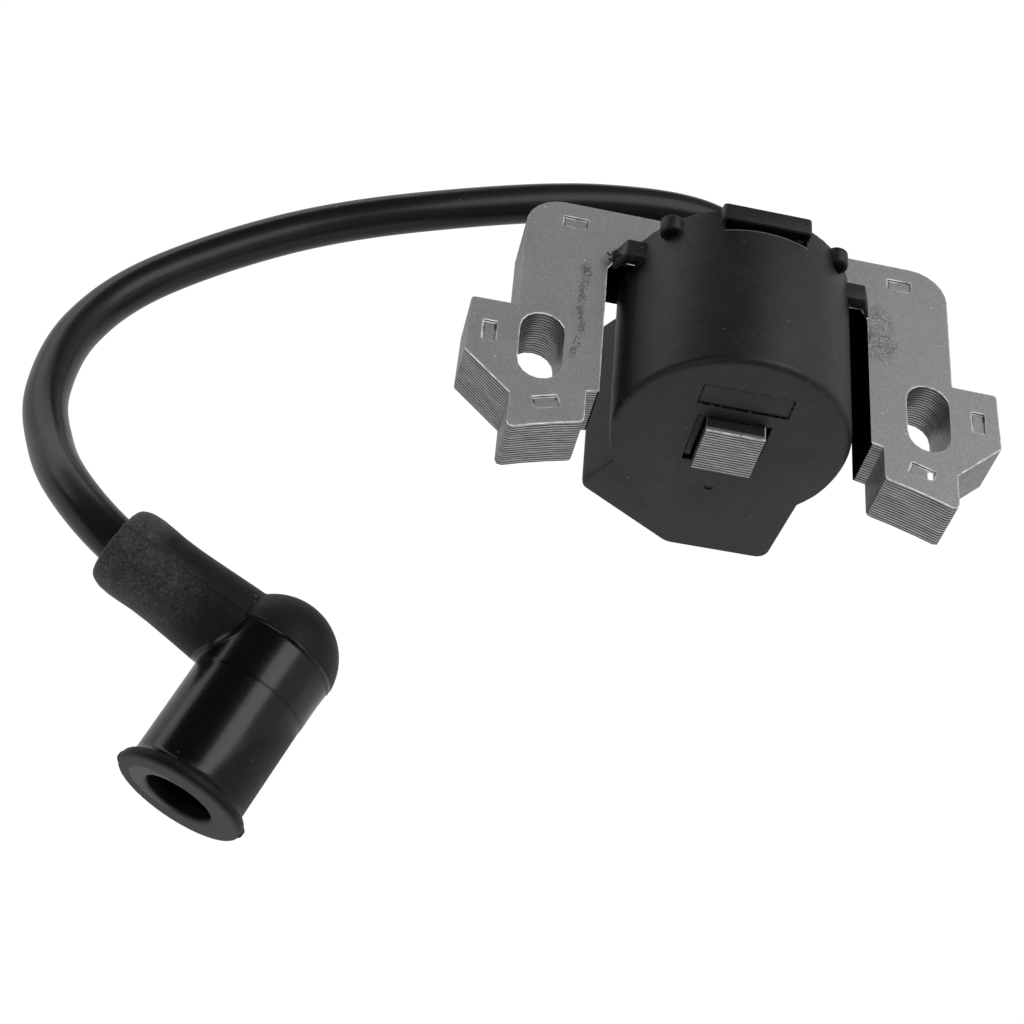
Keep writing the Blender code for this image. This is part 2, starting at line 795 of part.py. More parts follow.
def joining_wires(copper):
    """The primary's two ends run down to the board's edge, the secondary's to the output terminal."""
    behind = BOBBIN_BACK + WIRE_OFFSET
    board_end = BOARD_Y[1] + WIRE_OFFSET
    low = BOARD_Z - PRIMARY_WIRE_DROP
    for name, x in zip(("primary_wire_start", "primary_wire_end"), PRIMARY_WIRE_X):
        path = (
            (x, behind, PRIMARY_WIRE_TOP),
            (x, behind, BOARD_Z),
            (x, behind - PRIMARY_WIRE_BEND, low),
            (x, board_end, low),
        )
        wire(name, path, PRIMARY_WIRE_R, copper)
    exit_x, exit_z = LEAD_EXIT
    path = [(exit_x + x, BOBBIN_BACK + y, exit_z + z) for x, y, z in SECONDARY_WIRE]
    wire("secondary_wire", path, SECONDARY_WIRE_R, copper)


# ---------------------------------------------------------------- high-tension lead

def spline(points, per_span):
    """A Catmull-Rom curve through the points, with per_span steps between neighbours."""
    padded = [2 * points[0] - points[1], *points, 2 * points[-1] - points[-2]]
    curve = []
    for p0, p1, p2, p3 in zip(padded, padded[1:], padded[2:], padded[3:]):
        for i in range(per_span):
            t = i / per_span
            curve.append(
                0.5
                * (
                    2 * p1
                    + (p2 - p0) * t
                    + (2 * p0 - 5 * p1 + 4 * p2 - p3) * t**2
                    + (3 * p1 - p0 - 3 * p2 + p3) * t**3
                )
            )
    return [*curve, points[-1]]


def distances(curve):
    """How far along the curve each of its points is."""
    far = [0.0]
    for first, second in zip(curve, curve[1:]):
        far.append(far[-1] + (second - first).length)
    return far


def point_at(curve, far, wanted):
    """The point at a distance along the curve."""
    wanted = min(max(wanted, 0.0), far[-1])
    index = next(k for k in range(1, len(far)) if far[k] >= wanted - 1e-9)
    share = (wanted - far[index - 1]) / (far[index] - far[index - 1])
    return curve[index - 1].lerp(curve[index], share)


def stretch(curve, far, start, end, step):
    """Evenly spaced points between two distances along the curve, each with the curve's direction there."""
    count = max(2, round((end - start) / step) + 1)
    stations = []
    for i in range(count):
        wanted = start + (end - start) * i / (count - 1)
        direction = point_at(curve, far, wanted + 1.0) - point_at(curve, far, wanted - 1.0)
        stations.append((point_at(curve, far, wanted), direction.normalized()))
    return stations


def tube(stations, radius, bore, sides):
    """A tube through stations of point and direction, or a solid rod where the bore is 0."""
    side = stations[0][1].orthogonal().normalized()
    outer = []
    inner = []
    for point, tangent in stations:
        side = (side - tangent * side.dot(tangent)).normalized()
        other = tangent.cross(side)
        spokes = [side * u + other * v for u, v in arc(0, 0, 1, 0, 2 * math.pi, sides)[:-1]]
        outer.append([point + spoke * radius for spoke in spokes])
        inner.append([point + spoke * bore for spoke in spokes])
    if bore == 0:
        return skin(outer)
    return skin(outer + inner[::-1], looped=True)


def lead_points():
    """The centreline's points, with a straight end inside the boot's sleeve."""
    outward = (SLEEVE_END - ELBOW).normalized()
    before = SLEEVE_END + outward * STRAIGHT_BEFORE_SLEEVE
    inside = SLEEVE_END.lerp(ELBOW, SLEEVE_SHARE_FILLED)
    return [*map(Vector, LEAD_PATH), before, SLEEVE_END, inside]


def high_tension_lead(rubber, strand, swing, lift):
    """The insulated lead and its core. Two short flexing sections stand where the lead's bends are hinged."""
    per_span = 12
    curve = spline(lead_points(), per_span)
    far = distances(curve)
    swing_at = far[SWING_POINT * per_span]
    lift_at = far[LIFT_POINT * per_span]
    whole = far[-1]
    sections = (
        ("root", 0, swing_at - FLEX_HALF, LEAD_STEP, None),
        ("flex_a", swing_at - FLEX_HALF, swing_at + FLEX_HALF, FLEX_STEP, swing),
        ("middle", swing_at + FLEX_HALF, lift_at - FLEX_HALF, LEAD_STEP, swing),
        ("flex_b", lift_at - FLEX_HALF, lift_at + FLEX_HALF, FLEX_STEP, lift),
        ("end", lift_at + FLEX_HALF, whole, LEAD_STEP, lift),
    )
    for name, start, end, step, pivot in sections:
        first = name == "root"
        last = name == "end"
        y0 = start if first else start + SECTION_GAP
        y1 = end if last else end - SECTION_GAP
        centreline = stretch(curve, far, y0, y1, step)
        cover = tube(centreline, LEAD_R, LEAD_BORE, 12)
        # a terminal's spike fills the core's place at either end of the lead
        stripped = centreline[int(first) : len(centreline) - int(last)]
        core = tube(stripped, CONDUCTOR_R, 0, 6)
        for kind, bm, material in (("insulation", cover, rubber), ("conductor", core, strand)):
            full_name = f"lead_{kind}_{name}"
            if pivot is None:
                piece(full_name, bm, material)
            else:
                world_piece(full_name, bm, material, pivot)


# ---------------------------------------------------------------- spark-plug boot

def boot_frame():
    """Rotation from the boot's own frame, with +X up the sleeve and the barrel in the XZ plane."""
    along = (SLEEVE_END - ELBOW).normalized()
    down = MOUTH - ELBOW
    across = along.cross(down).normalized()
    up = along.cross(across)
    if up.dot(down) > 0:
        across, up = -across, -up
    return Matrix((along, across, up)).transposed()


def barrel_axis():
    """The barrel's direction in the boot's frame, from the elbow to the mouth."""
    return (boot_frame().transposed() @ (MOUTH - ELBOW)).normalized()


def barrel_length():
    return (MOUTH - ELBOW).length


def dome_profile(steps):
    """The barrel's round top, as pairs of distance along the barrel and radius."""
    angles = [math.pi / 2 * (i + 0.5) / steps for i in range(steps)]
    dome = [(DOME_BASE - DOME_R * math.cos(a), DOME_R * math.sin(a)) for a in angles]
    return [*dome, (DOME_BASE, DOME_R), (DOME_BASE + 1.2, DOME_R)]


def plug_boot(rubber, pivot):
    down = barrel_axis()
    length = barrel_length()
    outside = dome_profile(5) + [
        (DOME_BASE + 1.6, BARREL_R),
        (length - MOUTH_T - 1.0, BARREL_R),
        (length - MOUTH_T, MOUTH_R - 0.3),
        (length - MOUTH_T / 2, MOUTH_R),
        (length - 0.4, MOUTH_R),
        (length, MOUTH_R - 0.5),
    ]
    boot = piece("plug_boot", turned_along(down, outside, ROUND), rubber, pivot)
    sleeve = turned_along(Vector((1, 0, 0)), SLEEVE_RADII, ROUND)
    combine(boot, helper("sleeve_form", sleeve, pivot), "UNION")
    barrel_bore = turned_along(down, ((BORE_TOP, BARREL_BORE), (length + 5, BARREL_BORE)), ROUND)
    cut(boot, helper("barrel_bore_cutter", barrel_bore, pivot))
    sleeve_bore = turned_along(Vector((1, 0, 0)), ((1.0, SLEEVE_BORE), (40.0, SLEEVE_BORE)), ROUND)
    cut(boot, helper("sleeve_bore_cutter", sleeve_bore, pivot))


def plug_terminal(brass, pivot):
    """The clip that snaps over the plug's tip, with the spike that runs up the lead's core."""
    start, end = CLIP_SPAN
    cap = start + CLIP_CAP_T
    clip = [(start, CLIP_OUT), (end, CLIP_OUT), (end, CLIP_IN), (cap, CLIP_IN)]
    cup = turned_along(barrel_axis(), [(start, CLIP_CAP_HOLE), *clip, (cap, CLIP_CAP_HOLE)], 24, looped=True)
    terminal = piece("plug_terminal", cup, brass, pivot)
    spike = turned_along(Vector((1, 0, 0)), [(x, SPIKE_R) for x in SPIKE_SPAN], 8)
    combine(terminal, helper("spike_form", spike, pivot), "UNION")


def clip_ring(steel, pivot):
    """The wire ring that keeps the clip sprung shut."""
    down = barrel_axis()
    centre = 4.0
    wire_circle = arc(centre, RING_R, RING_WIRE, 0, 2 * math.pi, 6)[:-1]
    piece("clip_ring", turned_along(down, wire_circle, 24, looped=True), steel, pivot)


# ---------------------------------------------------------------- assembly

def build():
    clear_scene()
    steel = lamination_steel()
    plastic = housing_plastic()
    copper = enamelled_copper()
    brass = tinned_brass()
    bobbin = bobbin_plastic()
    laminations(steel)
    coil_housing(plastic)
    potting_compound(potting_resin())
    core_wedge(plastic)
    primary_bobbin(bobbin)
    primary_winding(copper)
    secondary_bobbin(bobbin)
    secondary_winding(copper)
    electronics(board_laminate(), component_epoxy(), capacitor_film(), resistor_coating())
    ground_strap(brass)
    kill_terminal(brass)
    high_tension_terminal(brass)
    joining_wires(copper)
    swing = pivot_at("lead_swing_pivot", metres(*LEAD_PATH[SWING_POINT]))
    lift = pivot_at("lead_lift_pivot", metres(*LEAD_PATH[LIFT_POINT]))
    high_tension_lead(lead_rubber(), copper_strand(), swing, lift)
    boot = pivot_at("boot_pivot", ELBOW * MM, boot_frame())
    plug_boot(boot_rubber(), boot)
    plug_terminal(brass, boot)
    clip_ring(spring_steel(), boot)


build()
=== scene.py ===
"""Looks of the magneto ignition coil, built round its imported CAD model.

Shapes are given in millimetres in the part's own frame: the origin is the middle of the centre pole's
face, +X runs to the right leg, +Y from the flywheel to the yoke, and +Z is square to the laminations.
"""

import json
import math
import random

import bmesh
import bpy
from mathutils import Matrix, Vector, noise


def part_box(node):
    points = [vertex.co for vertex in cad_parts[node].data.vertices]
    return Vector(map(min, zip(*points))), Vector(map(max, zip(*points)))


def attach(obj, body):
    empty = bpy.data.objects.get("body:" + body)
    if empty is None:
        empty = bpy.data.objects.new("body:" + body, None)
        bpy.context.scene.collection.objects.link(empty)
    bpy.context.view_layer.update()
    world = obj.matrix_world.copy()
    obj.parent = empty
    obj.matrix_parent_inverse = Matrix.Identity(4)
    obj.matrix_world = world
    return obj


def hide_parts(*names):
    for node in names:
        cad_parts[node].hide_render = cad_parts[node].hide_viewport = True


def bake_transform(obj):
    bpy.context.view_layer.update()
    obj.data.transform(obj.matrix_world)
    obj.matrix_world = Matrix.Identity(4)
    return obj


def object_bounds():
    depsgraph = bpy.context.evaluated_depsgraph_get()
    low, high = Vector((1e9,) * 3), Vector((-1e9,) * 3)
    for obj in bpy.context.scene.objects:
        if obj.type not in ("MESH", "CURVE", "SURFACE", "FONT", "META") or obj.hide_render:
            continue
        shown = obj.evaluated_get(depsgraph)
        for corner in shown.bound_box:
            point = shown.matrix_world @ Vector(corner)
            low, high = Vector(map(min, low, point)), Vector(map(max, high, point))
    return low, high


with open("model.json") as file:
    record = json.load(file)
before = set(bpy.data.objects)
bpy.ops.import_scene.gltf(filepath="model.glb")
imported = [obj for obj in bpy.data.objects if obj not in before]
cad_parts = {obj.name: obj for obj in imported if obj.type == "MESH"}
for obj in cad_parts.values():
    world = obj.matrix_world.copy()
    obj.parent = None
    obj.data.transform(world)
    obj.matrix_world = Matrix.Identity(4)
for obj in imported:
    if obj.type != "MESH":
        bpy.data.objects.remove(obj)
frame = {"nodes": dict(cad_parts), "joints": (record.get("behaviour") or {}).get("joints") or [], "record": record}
CAD_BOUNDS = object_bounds()

MM = 0.001
X_AXIS, Y_AXIS, Z_AXIS = (1, 0, 0), (0, 1, 0), (0, 0, 1)
SHARP_ANGLE = math.radians(35)
RECORD = frame["record"]
JOINTS = {joint["name"]: joint for joint in frame["joints"]}
MOUNTS = {mount["name"]: mount for mount in RECORD["mounts"]}


def in_mm(point):
    """Converts a point of the frame from metres."""
    return Vector(point) / MM


def span(node, axis):
    """A CAD node's lowest and highest coordinate along one axis, in millimetres."""
    low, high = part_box(node)
    return low[axis] / MM, high[axis] / MM


# Core
STACK_TOP = span("lamination_01", 2)[1]
PLATE_PITCH = span("lamination_01", 2)[0] - span("lamination_02", 2)[0]
YOKE_FRONT = 33.4
LEG_IN = 22.65
SLOT_X = 32.66
SLOT_Y = 11.4
SLOT_R = 3.7
SLOT_STRAIGHT = 3.4  # half the length of the slot's straight sides

WALL_TOLERANCE = 0.06  # how far from a slot's wall the finish still counts as the wall
TOP_FACE_DEPTH = 0.45  # less than one plate's thickness
# brightness down a plate's sheared edge, from its top: share of the pitch, and grey
SHEARED_EDGE = ((0.0, 0.24), (0.12, 0.66), (0.34, 0.52), (0.52, 0.22), (0.76, 0.10), (0.92, 0.012))

# the interlock marks on a plate's right half: centre x, centre y and turn. The left half mirrors them
MARK_SIZE = (4.2, 2.2)
MARK_CORNER = 0.6
MARKS = ((28.6, 40.9, 0.0), (41.3, 12.6, math.pi / 2), (31.1, -0.3, math.radians(-18.2)))
GLINT_X = (31.9, 33.1)  # a painted highlight in the right pole's mark
GLINT_Y = (-1.6, 0.2)
SCRIBBLE_X = 27.6  # the scribbled wear runs down the left leg, this far from the middle
SCRIBBLE_Y = (9.0, 33.5)
RUB_CENTRE = (24.9, 28.2)  # the rubbed patch on the right leg
RUB_HALF = (2.7, 7.0)

# Housing
HOUSING_FRONT, HOUSING_BACK = span("coil_housing", 1)
HOUSING_X = 0.3
HOUSING_R = 19.7
HOUSING_WALL = 1.6
HOUSING_SHARP_ANGLE = math.radians(32)
FRONT_FILLET = 1.25
LOW_FILLET_SHARE = 0.25  # the front edge is sharper round the chamber
INSET_FADE = (2.0, -9.0)  # the heights between which the fillet shrinks
CHAMBER_RIGHT_ANGLE = math.radians(-39.4)
CHAMBER_LEFT_ANGLE = math.radians(210.0)
# the chamber's corners, each with the radius that rounds it
CHAMBER_CORNERS = (((-21.3, -17.1), 1.8), ((-3.35, -28.4), 4.0), ((14.4, -28.1), 2.3))
YOKE_BAND = 5.3
WINDOW_X = (-6.3, 5.9)
WINDOW_Z = (-5.9, 5.4)
LABEL_X = (-7.2, 7.7)
LABEL_Z = (8.0, 12.5)
LABEL_DEPTH = 0.28
DIMPLE_CENTRE = (-0.05, 0, -11.8)
DIMPLE_RADII = (1.05, 0.8)
DIMPLE_DEPTH = 0.3
BAR_X = (-6.7, 8.4)
BAR_TOP = 20.3
BAR_FRONT = 33.0
BAR_SLOT_FRONT = BAR_FRONT - 1.3
LUG_ANGLES = (math.radians(44), math.radians(136))
LUG_R = 1.95
HOOK_Y = (31.2, 34.8)
HOOK_TOP = 9.5
HOOK_REACH = (22.5, 20.6)  # from the middle plane, at the hook's foot and at its top
SHAVINGS_START = (-21.4, 33.6, 6.6)
SHAVING_CURLS = 7
SHAVING_STEPS = 5
SHAVINGS_SEED = 11

# High-tension lead
LEAD_R = 3.5
CONDUCTOR_R = 0.7
LEAD_PATH = (
    (9.0, 28.6, -15.0),
    (9.0, 37.0, -15.0),
    (10.0, 51.5, -13.4),
    (0.0, 63.4, -10.5),
    (-22.4, 61.2, -8.6),
    (-51.3, 51.5, -8.7),
    (-75.4, 41.6, -10.9),
    (-96.5, 26.3, -12.2),
    (-106.2, 10.8, -10.9),
    (-108.3, -6.3, -7.5),
    (-105.2, -20.2, -3.3),
    (-99.8, -32.0, 1.9),
)
SWING_POINT = 5  # the hinges' places in LEAD_PATH
LIFT_POINT = 9

# Spark-plug boot
ELBOW = in_mm(JOINTS["boot_swivel"]["pos_m"])
SLEEVE_DIRECTION = Vector(JOINTS["boot_swivel"]["axis"]).normalized()
BARREL_DIRECTION = Vector(MOUNTS["plug_boot_mouth"]["axis"]).normalized()
BOOT_NORMAL = SLEEVE_DIRECTION.cross(BARREL_DIRECTION).normalized()
SLEEVE_LENGTH = 28.2
BARREL_LENGTH = 24.78
BARREL_R = 8.8
BARREL_BORE = 5.25
SLEEVE_BORE = 3.8
DOME_R = 9.35
DOME_CENTRE = -0.3
MOUTH_R = 10.0
DOME_BASE = -0.9  # where the dome stops, measured along the barrel
SEAM_RING = 6.9  # distance of the mould's ring seam along the barrel
SEAM_OFFSET = 0.75  # how far the parting line lies from the sleeve's axis, away from the barrel
SEAM_HEIGHT = 0.18
SEAM_WIDTH = 0.17
NIB_HEIGHT = 0.30
NIB_WIDTH = 0.35
BOOT_VOXEL = 0.24
BOOT_SMOOTHING = 4

# Stage. Sizes and places are in metres, the lens is in millimetres
FLOOR_HALF = 3.0
FLOOR_GAP = 0.0003
FLOOR_GLOW = (0.38, 1.02)  # as the object sees the floor, and as the camera does
WALL_DIRECTION = (0.93, 0.15, 0.33)  # the bright wall to the right
WALL_EDGE = (0.25, 0.85)
WALL_STRENGTH = (0.045, 0.50)  # away from the wall, and at it
LIGHTS_CENTRE = (-0.03, 0.0, 0.0)
CAMERA_LENS = 77.8
CAMERA_PLACE = (-0.0700, -0.2325, 0.2651)
CAMERA_RIGHT = (0.9784, 0.0750, 0.1926)
CAMERA_UP = (-0.1781, 0.7790, 0.6012)


# ---------------------------------------------------------------- shape tools

def arc(centre, radius, start, end, steps):
    angles = [start + (end - start) * i / steps for i in range(steps + 1)]
    return [Vector((centre[0] + radius * math.cos(a), centre[1] + radius * math.sin(a))) for a in angles]


def rounded_corner(before, corner, after, radius, steps=7):
    """The arc that rounds a polygon's corner."""
    back = (before - corner).normalized()
    ahead = (after - corner).normalized()
    half = back.angle(ahead) / 2
    centre = corner + (back + ahead).normalized() * radius / math.sin(half)
    first = corner + back * radius / math.tan(half) - centre
    last = corner + ahead * radius / math.tan(half) - centre
    turn = first.angle_signed(last)
    points = []
    for i in range(steps + 1):
        angle = -turn * i / steps
        cos, sin = math.cos(angle), math.sin(angle)
        points.append(centre + Vector((first.x * cos - first.y * sin, first.x * sin + first.y * cos)))
    return points


def rounded_polygon(corners, radius, steps=4):
    """A closed outline with every corner rounded by the same radius."""
    points = [Vector(corner) for corner in corners]
    outline = []
    for i, corner in enumerate(points):
        outline += rounded_corner(points[i - 1], corner, points[(i + 1) % len(points)], radius, steps)
    return outline


def rectangle(x_span, z_span, radius):
    (x0, x1), (z0, z1) = x_span, z_span
    return rounded_polygon(((x0, z0), (x1, z0), (x1, z1), (x0, z1)), radius)


def inset(outline, amount, low_share=1.0):
    """An anticlockwise outline moved inwards, by only the low share of the amount near its bottom."""
    moved = []
    for i, point in enumerate(outline):
        before = (point - outline[i - 1]).normalized()
        after = (outline[(i + 1) % len(outline)] - point).normalized()
        normal = Vector((-before.y, before.x))
        mean = (normal + Vector((-after.y, after.x))).normalized()
        low = min(max((INSET_FADE[0] - point.y) / (INSET_FADE[0] - INSET_FADE[1]), 0.0), 1.0)
        share = 1.0 + (low_share - 1.0) * low
        moved.append(point + mean * amount * share / max(mean.dot(normal), 0.5))
    return moved


def skin(rings):
    """A body through rings of points in millimetres, with its end rings filled."""
    bm = bmesh.new()
    loops = [[bm.verts.new(Vector(point) * MM) for point in points] for points in rings]
    bm.faces.new(loops[0])
    bm.faces.new(loops[-1])
    for first, second in zip(loops, loops[1:]):
        for i in range(len(first)):
            j = (i + 1) % len(first)
            bm.faces.new((first[i], first[j], second[j], second[i]))
    bmesh.ops.recalc_face_normals(bm, faces=bm.faces)
    return bm


def along_y(steps):
    """Rings from pairs of y and outline."""
    return [[(point[0], y, point[1]) for point in outline] for y, outline in steps]


def prism_y(outline, y0, y1):
    return skin(along_y(((y0, outline), (y1, outline))))


def fillet(outline, front, radius, steps, low_share=1.0):
    """Pairs of y and outline that round a body's front edge."""
    rings = []
    for i in range(steps + 1):
        angle = math.pi / 2 * i / steps
        y = front + radius * (1 - math.cos(angle))
        rings.append((y, inset(outline, radius * (1 - math.sin(angle)), low_share)))
    return rings


def rounded_prism_y(outline, y0, y1, radius):
    """A prism along Y with rounded edges at both ends."""
    rings = fillet(outline, y0, radius, 3)
    rings += [(y0 + y1 - y, inner) for y, inner in reversed(rings)]
    return skin(along_y(rings))


def ring(centre, side, other, radius, sides):
    """A circle of points in the plane of two directions."""
    circle = arc((0, 0), radius, 0, 2 * math.pi, sides)[:-1]
    return [centre + side * u + other * v for u, v in circle]


def turned(centre, direction, profile, sides):
    """A body turned about a line. The profile is pairs of distance along the line and radius."""
    side = direction.orthogonal().normalized()
    other = direction.cross(side)
    return skin([ring(centre + direction * along, side, other, radius, sides) for along, radius in profile])


def shade(obj, sharp_angle=SHARP_ANGLE):
    """Smooth shading, broken at edges sharper than the angle."""
    obj.data.shade_smooth()
    obj.data.set_sharp_from_angle(angle=sharp_angle)


def new_object(name, data):
    obj = bpy.data.objects.new(name, data)
    bpy.context.scene.collection.objects.link(obj)
    return obj


def to_object(name, bm):
    mesh = bpy.data.meshes.new(name)
    bm.to_mesh(mesh)
    bm.free()
    obj = new_object(name, mesh)
    shade(obj)
    return obj


def settle(obj):
    """Applies an object's modifiers."""
    evaluated = obj.evaluated_get(bpy.context.evaluated_depsgraph_get())
    mesh = bpy.data.meshes.new_from_object(evaluated)
    obj.modifiers.clear()
    obj.data = mesh


def combine(obj, bodies, operation):
    """Joins other bodies to the object, or cuts them from it."""
    for bm in bodies:
        tool = to_object("tool", bm)
        modifier = obj.modifiers.new("combine", "BOOLEAN")
        modifier.operation = operation
        modifier.solver = "EXACT"
        modifier.object = tool
        settle(obj)
        bpy.data.objects.remove(tool)


def finish_piece(obj, material, cad_name, body):
    """Gives a piece its material, its CAD node to replace and the body that it rides on."""
    obj.data.materials.clear()
    obj.data.materials.append(material)
    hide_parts(cad_name)
    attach(obj, body)


# ---------------------------------------------------------------- material tools

class Shader:
    """A material's node tree, with short calls for the nodes that the finishes share."""

    def __init__(self, name):
        self.material = bpy.data.materials.new(f"{name}_finish")
        self.material.use_nodes = True
        self.tree = self.material.node_tree
        self.surface = self.tree.nodes["Principled BSDF"]
        self.place = self.add("ShaderNodeTexCoord").outputs["Object"]
        self.height = None

    def add(self, kind, **settings):
        node = self.tree.nodes.new(kind)
        for key, value in settings.items():
            setattr(node, key, value)
        return node

    def put(self, value, socket):
        if isinstance(value, bpy.types.NodeSocket):
            self.tree.links.new(value, socket)
        else:
            socket.default_value = value

    def fill(self, node, **values):
        for key, value in values.items():
            self.put(value, node.inputs[key.replace("_", " ")])

    def math(self, operation, *values):
        node = self.add("ShaderNodeMath", operation=operation)
        for value, socket in zip(values, node.inputs):
            self.put(value, socket)
        return node.outputs[0]

    def times(self, value, factor):
        return self.math("MULTIPLY", value, factor)

    def plus(self, value, other):
        return self.math("ADD", value, other)

    def minus(self, value, other):
        return self.math("SUBTRACT", value, other)

    def highest(self, value, other):
        return self.math("MAXIMUM", value, other)

    def magnitude(self, value):
        return self.math("ABSOLUTE", value)

    def scaled(self, value, factor, offset):
        return self.plus(self.times(value, factor), offset)

    def centred(self, value, amount):
        """A noise value that swings to both sides of 0, over the given amount in all."""
        return self.times(self.minus(value, 0.5), amount)

    def pair(self, x, y):
        """A vector in the plane of the laminations."""
        node = self.add("ShaderNodeCombineXYZ")
        self.put(x, node.inputs[0])
        self.put(y, node.inputs[1])
        return node.outputs[0]

    def vector(self, operation, *values):
        node = self.add("ShaderNodeVectorMath", operation=operation)
        for value, socket in zip(values, node.inputs):
            self.put(value, socket)
        return node.outputs["Value" if operation in ("DOT_PRODUCT", "LENGTH", "DISTANCE") else "Vector"]

    def reach(self, direction, origin=(0, 0, 0)):
        """How far a point is from the origin along a direction, in millimetres."""
        away = self.vector("SUBTRACT", self.place, tuple(Vector(origin) * MM))
        return self.times(self.vector("DOT_PRODUCT", away, tuple(direction)), 1 / MM)

    def between(self, value, low, high):
        """0 below low, 1 above high, and smooth in between. With low above high it falls instead."""
        node = self.add("ShaderNodeMapRange", interpolation_type="SMOOTHSTEP")
        flip = low > high
        low, high = min(low, high), max(low, high)
        for socket, number in zip(node.inputs[1:5], (low, high, float(flip), float(not flip))):
            socket.default_value = number
        self.put(value, node.inputs[0])
        return node.outputs[0]

    def noise(self, size, detail=3.0, roughness=0.5, stretch=(1, 1, 1), warp=0.0):
        """Noise whose features are about the given size in millimetres, longer along the stretched axes."""
        scaled = self.vector("DIVIDE", self.place, stretch)
        node = self.add("ShaderNodeTexNoise")
        self.fill(node, Vector=scaled, Scale=1 / (size * MM), Detail=detail)
        self.fill(node, Roughness=roughness, Distortion=warp)
        return node.outputs["Fac"]

    def specks(self, size, share):
        """Small round specks, each cell holding one in the given share of cells."""
        node = self.add("ShaderNodeTexVoronoi")
        self.fill(node, Vector=self.place, Scale=1 / (size * MM))
        chosen = self.math("LESS_THAN", self.split(node.outputs["Color"])[0], share)
        return self.times(self.between(node.outputs["Distance"], 0.16, 0.08), chosen)

    def split(self, colour):
        node = self.add("ShaderNodeSeparateColor")
        self.put(colour, node.inputs[0])
        return node.outputs[0], node.outputs[1], node.outputs[2]

    def ramp(self, value, stops):
        """A grey that follows stops of position and brightness."""
        node = self.add("ShaderNodeValToRGB")
        elements = node.color_ramp.elements
        while len(elements) < len(stops):
            elements.new(0.5)
        for element, (position, grey) in zip(elements, stops):
            element.position = position
            element.color = (grey, grey, grey, 1)
        self.put(value, node.inputs[0])
        return self.split(node.outputs["Color"])[0]

    def mix(self, share, first, second):
        node = self.add("ShaderNodeMix")
        self.fill(node, Factor=share, A=first, B=second)
        return node.outputs["Result"]

    def tint(self, value, colour=(1.0, 1.0, 1.0)):
        """A brightness turned into a colour."""
        node = self.add("ShaderNodeCombineColor")
        for socket, part in zip(node.inputs, colour):
            self.put(self.times(value, part), socket)
        return node.outputs[0]

    def relief(self, height, depth, rounding=None, base=None):
        """Adds height to the surface: a depth in millimetres where the height is 1."""
        node = self.add("ShaderNodeBump")
        self.fill(node, Strength=1.0, Distance=depth * MM, Height=height)
        if self.height is not None:
            self.put(self.height, node.inputs["Normal"])
        elif rounding or base is not None:
            self.put(self.rounded(rounding) if base is None else base, node.inputs["Normal"])
        self.height = node.outputs["Normal"]

    def rounded(self, radius):
        node = self.add("ShaderNodeBevel", samples=8)
        node.inputs["Radius"].default_value = radius * MM
        return node.outputs["Normal"]

    def edges(self, radius):
        """1 along sharp edges, 0 on the faces between them."""
        true_normal = self.add("ShaderNodeNewGeometry").outputs["True Normal"]
        same = self.vector("DOT_PRODUCT", self.rounded(radius), true_normal)
        return self.between(same, 0.985, 0.90)

    def strokes(self, size, width, warp):
        """Thin squiggles, like those a dragged edge scratches."""
        wave = self.minus(self.noise(size, 2.0, 0.5, warp=warp), 0.5)
        return self.between(self.magnitude(wave), width, width * 0.4)

    def inside(self, value, low, high, soft):
        """1 where the value lies between low and high."""
        return self.times(self.between(value, low, low + soft), self.between(value, high, high - soft))

    def facing(self, axis):
        """How squarely the surface faces along a row axis, from 0 to 1."""
        normal = self.add("ShaderNodeNewGeometry").outputs["True Normal"]
        return self.magnitude(self.vector("DOT_PRODUCT", normal, axis))

    def done(self, colour, roughness, metallic=0.0, **more):
        self.fill(self.surface, Base_Color=colour, Roughness=roughness, Metallic=metallic, **more)
        if self.height is not None:
            self.put(self.height, self.surface.inputs["Normal"])
        return self.material


# ---------------------------------------------------------------- finishes

def scuffs(shader):
    """Scribbled wear down the left leg, and a rubbed patch beside the housing on the right one."""
    across = shader.reach(X_AXIS)
    forward = shader.reach(Y_AXIS)
    wander = shader.centred(shader.noise(6.0, 2.0), 3.5)
    line = shader.plus(shader.times(forward, -0.05), shader.plus(wander, SCRIBBLE_X))
    line = shader.magnitude(shader.plus(across, line))
    scribble = shader.times(shader.between(line, 0.95, 0.5), shader.inside(forward, *SCRIBBLE_Y, 3.0))
    scribble = shader.times(scribble, shader.strokes(1.5, 0.07, 2.0))
    off_x = shader.math("POWER", shader.math("DIVIDE", shader.minus(across, RUB_CENTRE[0]), RUB_HALF[0]), 2.0)
    off_y = shader.math("DIVIDE", shader.magnitude(shader.minus(forward, RUB_CENTRE[1])), RUB_HALF[1])
    off_y = shader.math("POWER", off_y, 3.0)
    ragged = shader.centred(shader.noise(1.6, 3.0, 0.7), 1.8)
    patch = shader.between(shader.plus(shader.plus(off_x, off_y), ragged), 1.1, 0.8)
    hatch = shader.times(shader.strokes(0.7, 0.07, 1.0), 0.6)
    arcs = shader.strokes(3.2, 0.024, 1.5)
    dark = shader.highest(scribble, shader.times(patch, shader.highest(hatch, arcs)))
    light = shader.times(patch, shader.strokes(0.9, 0.06, 1.4))
    return dark, light


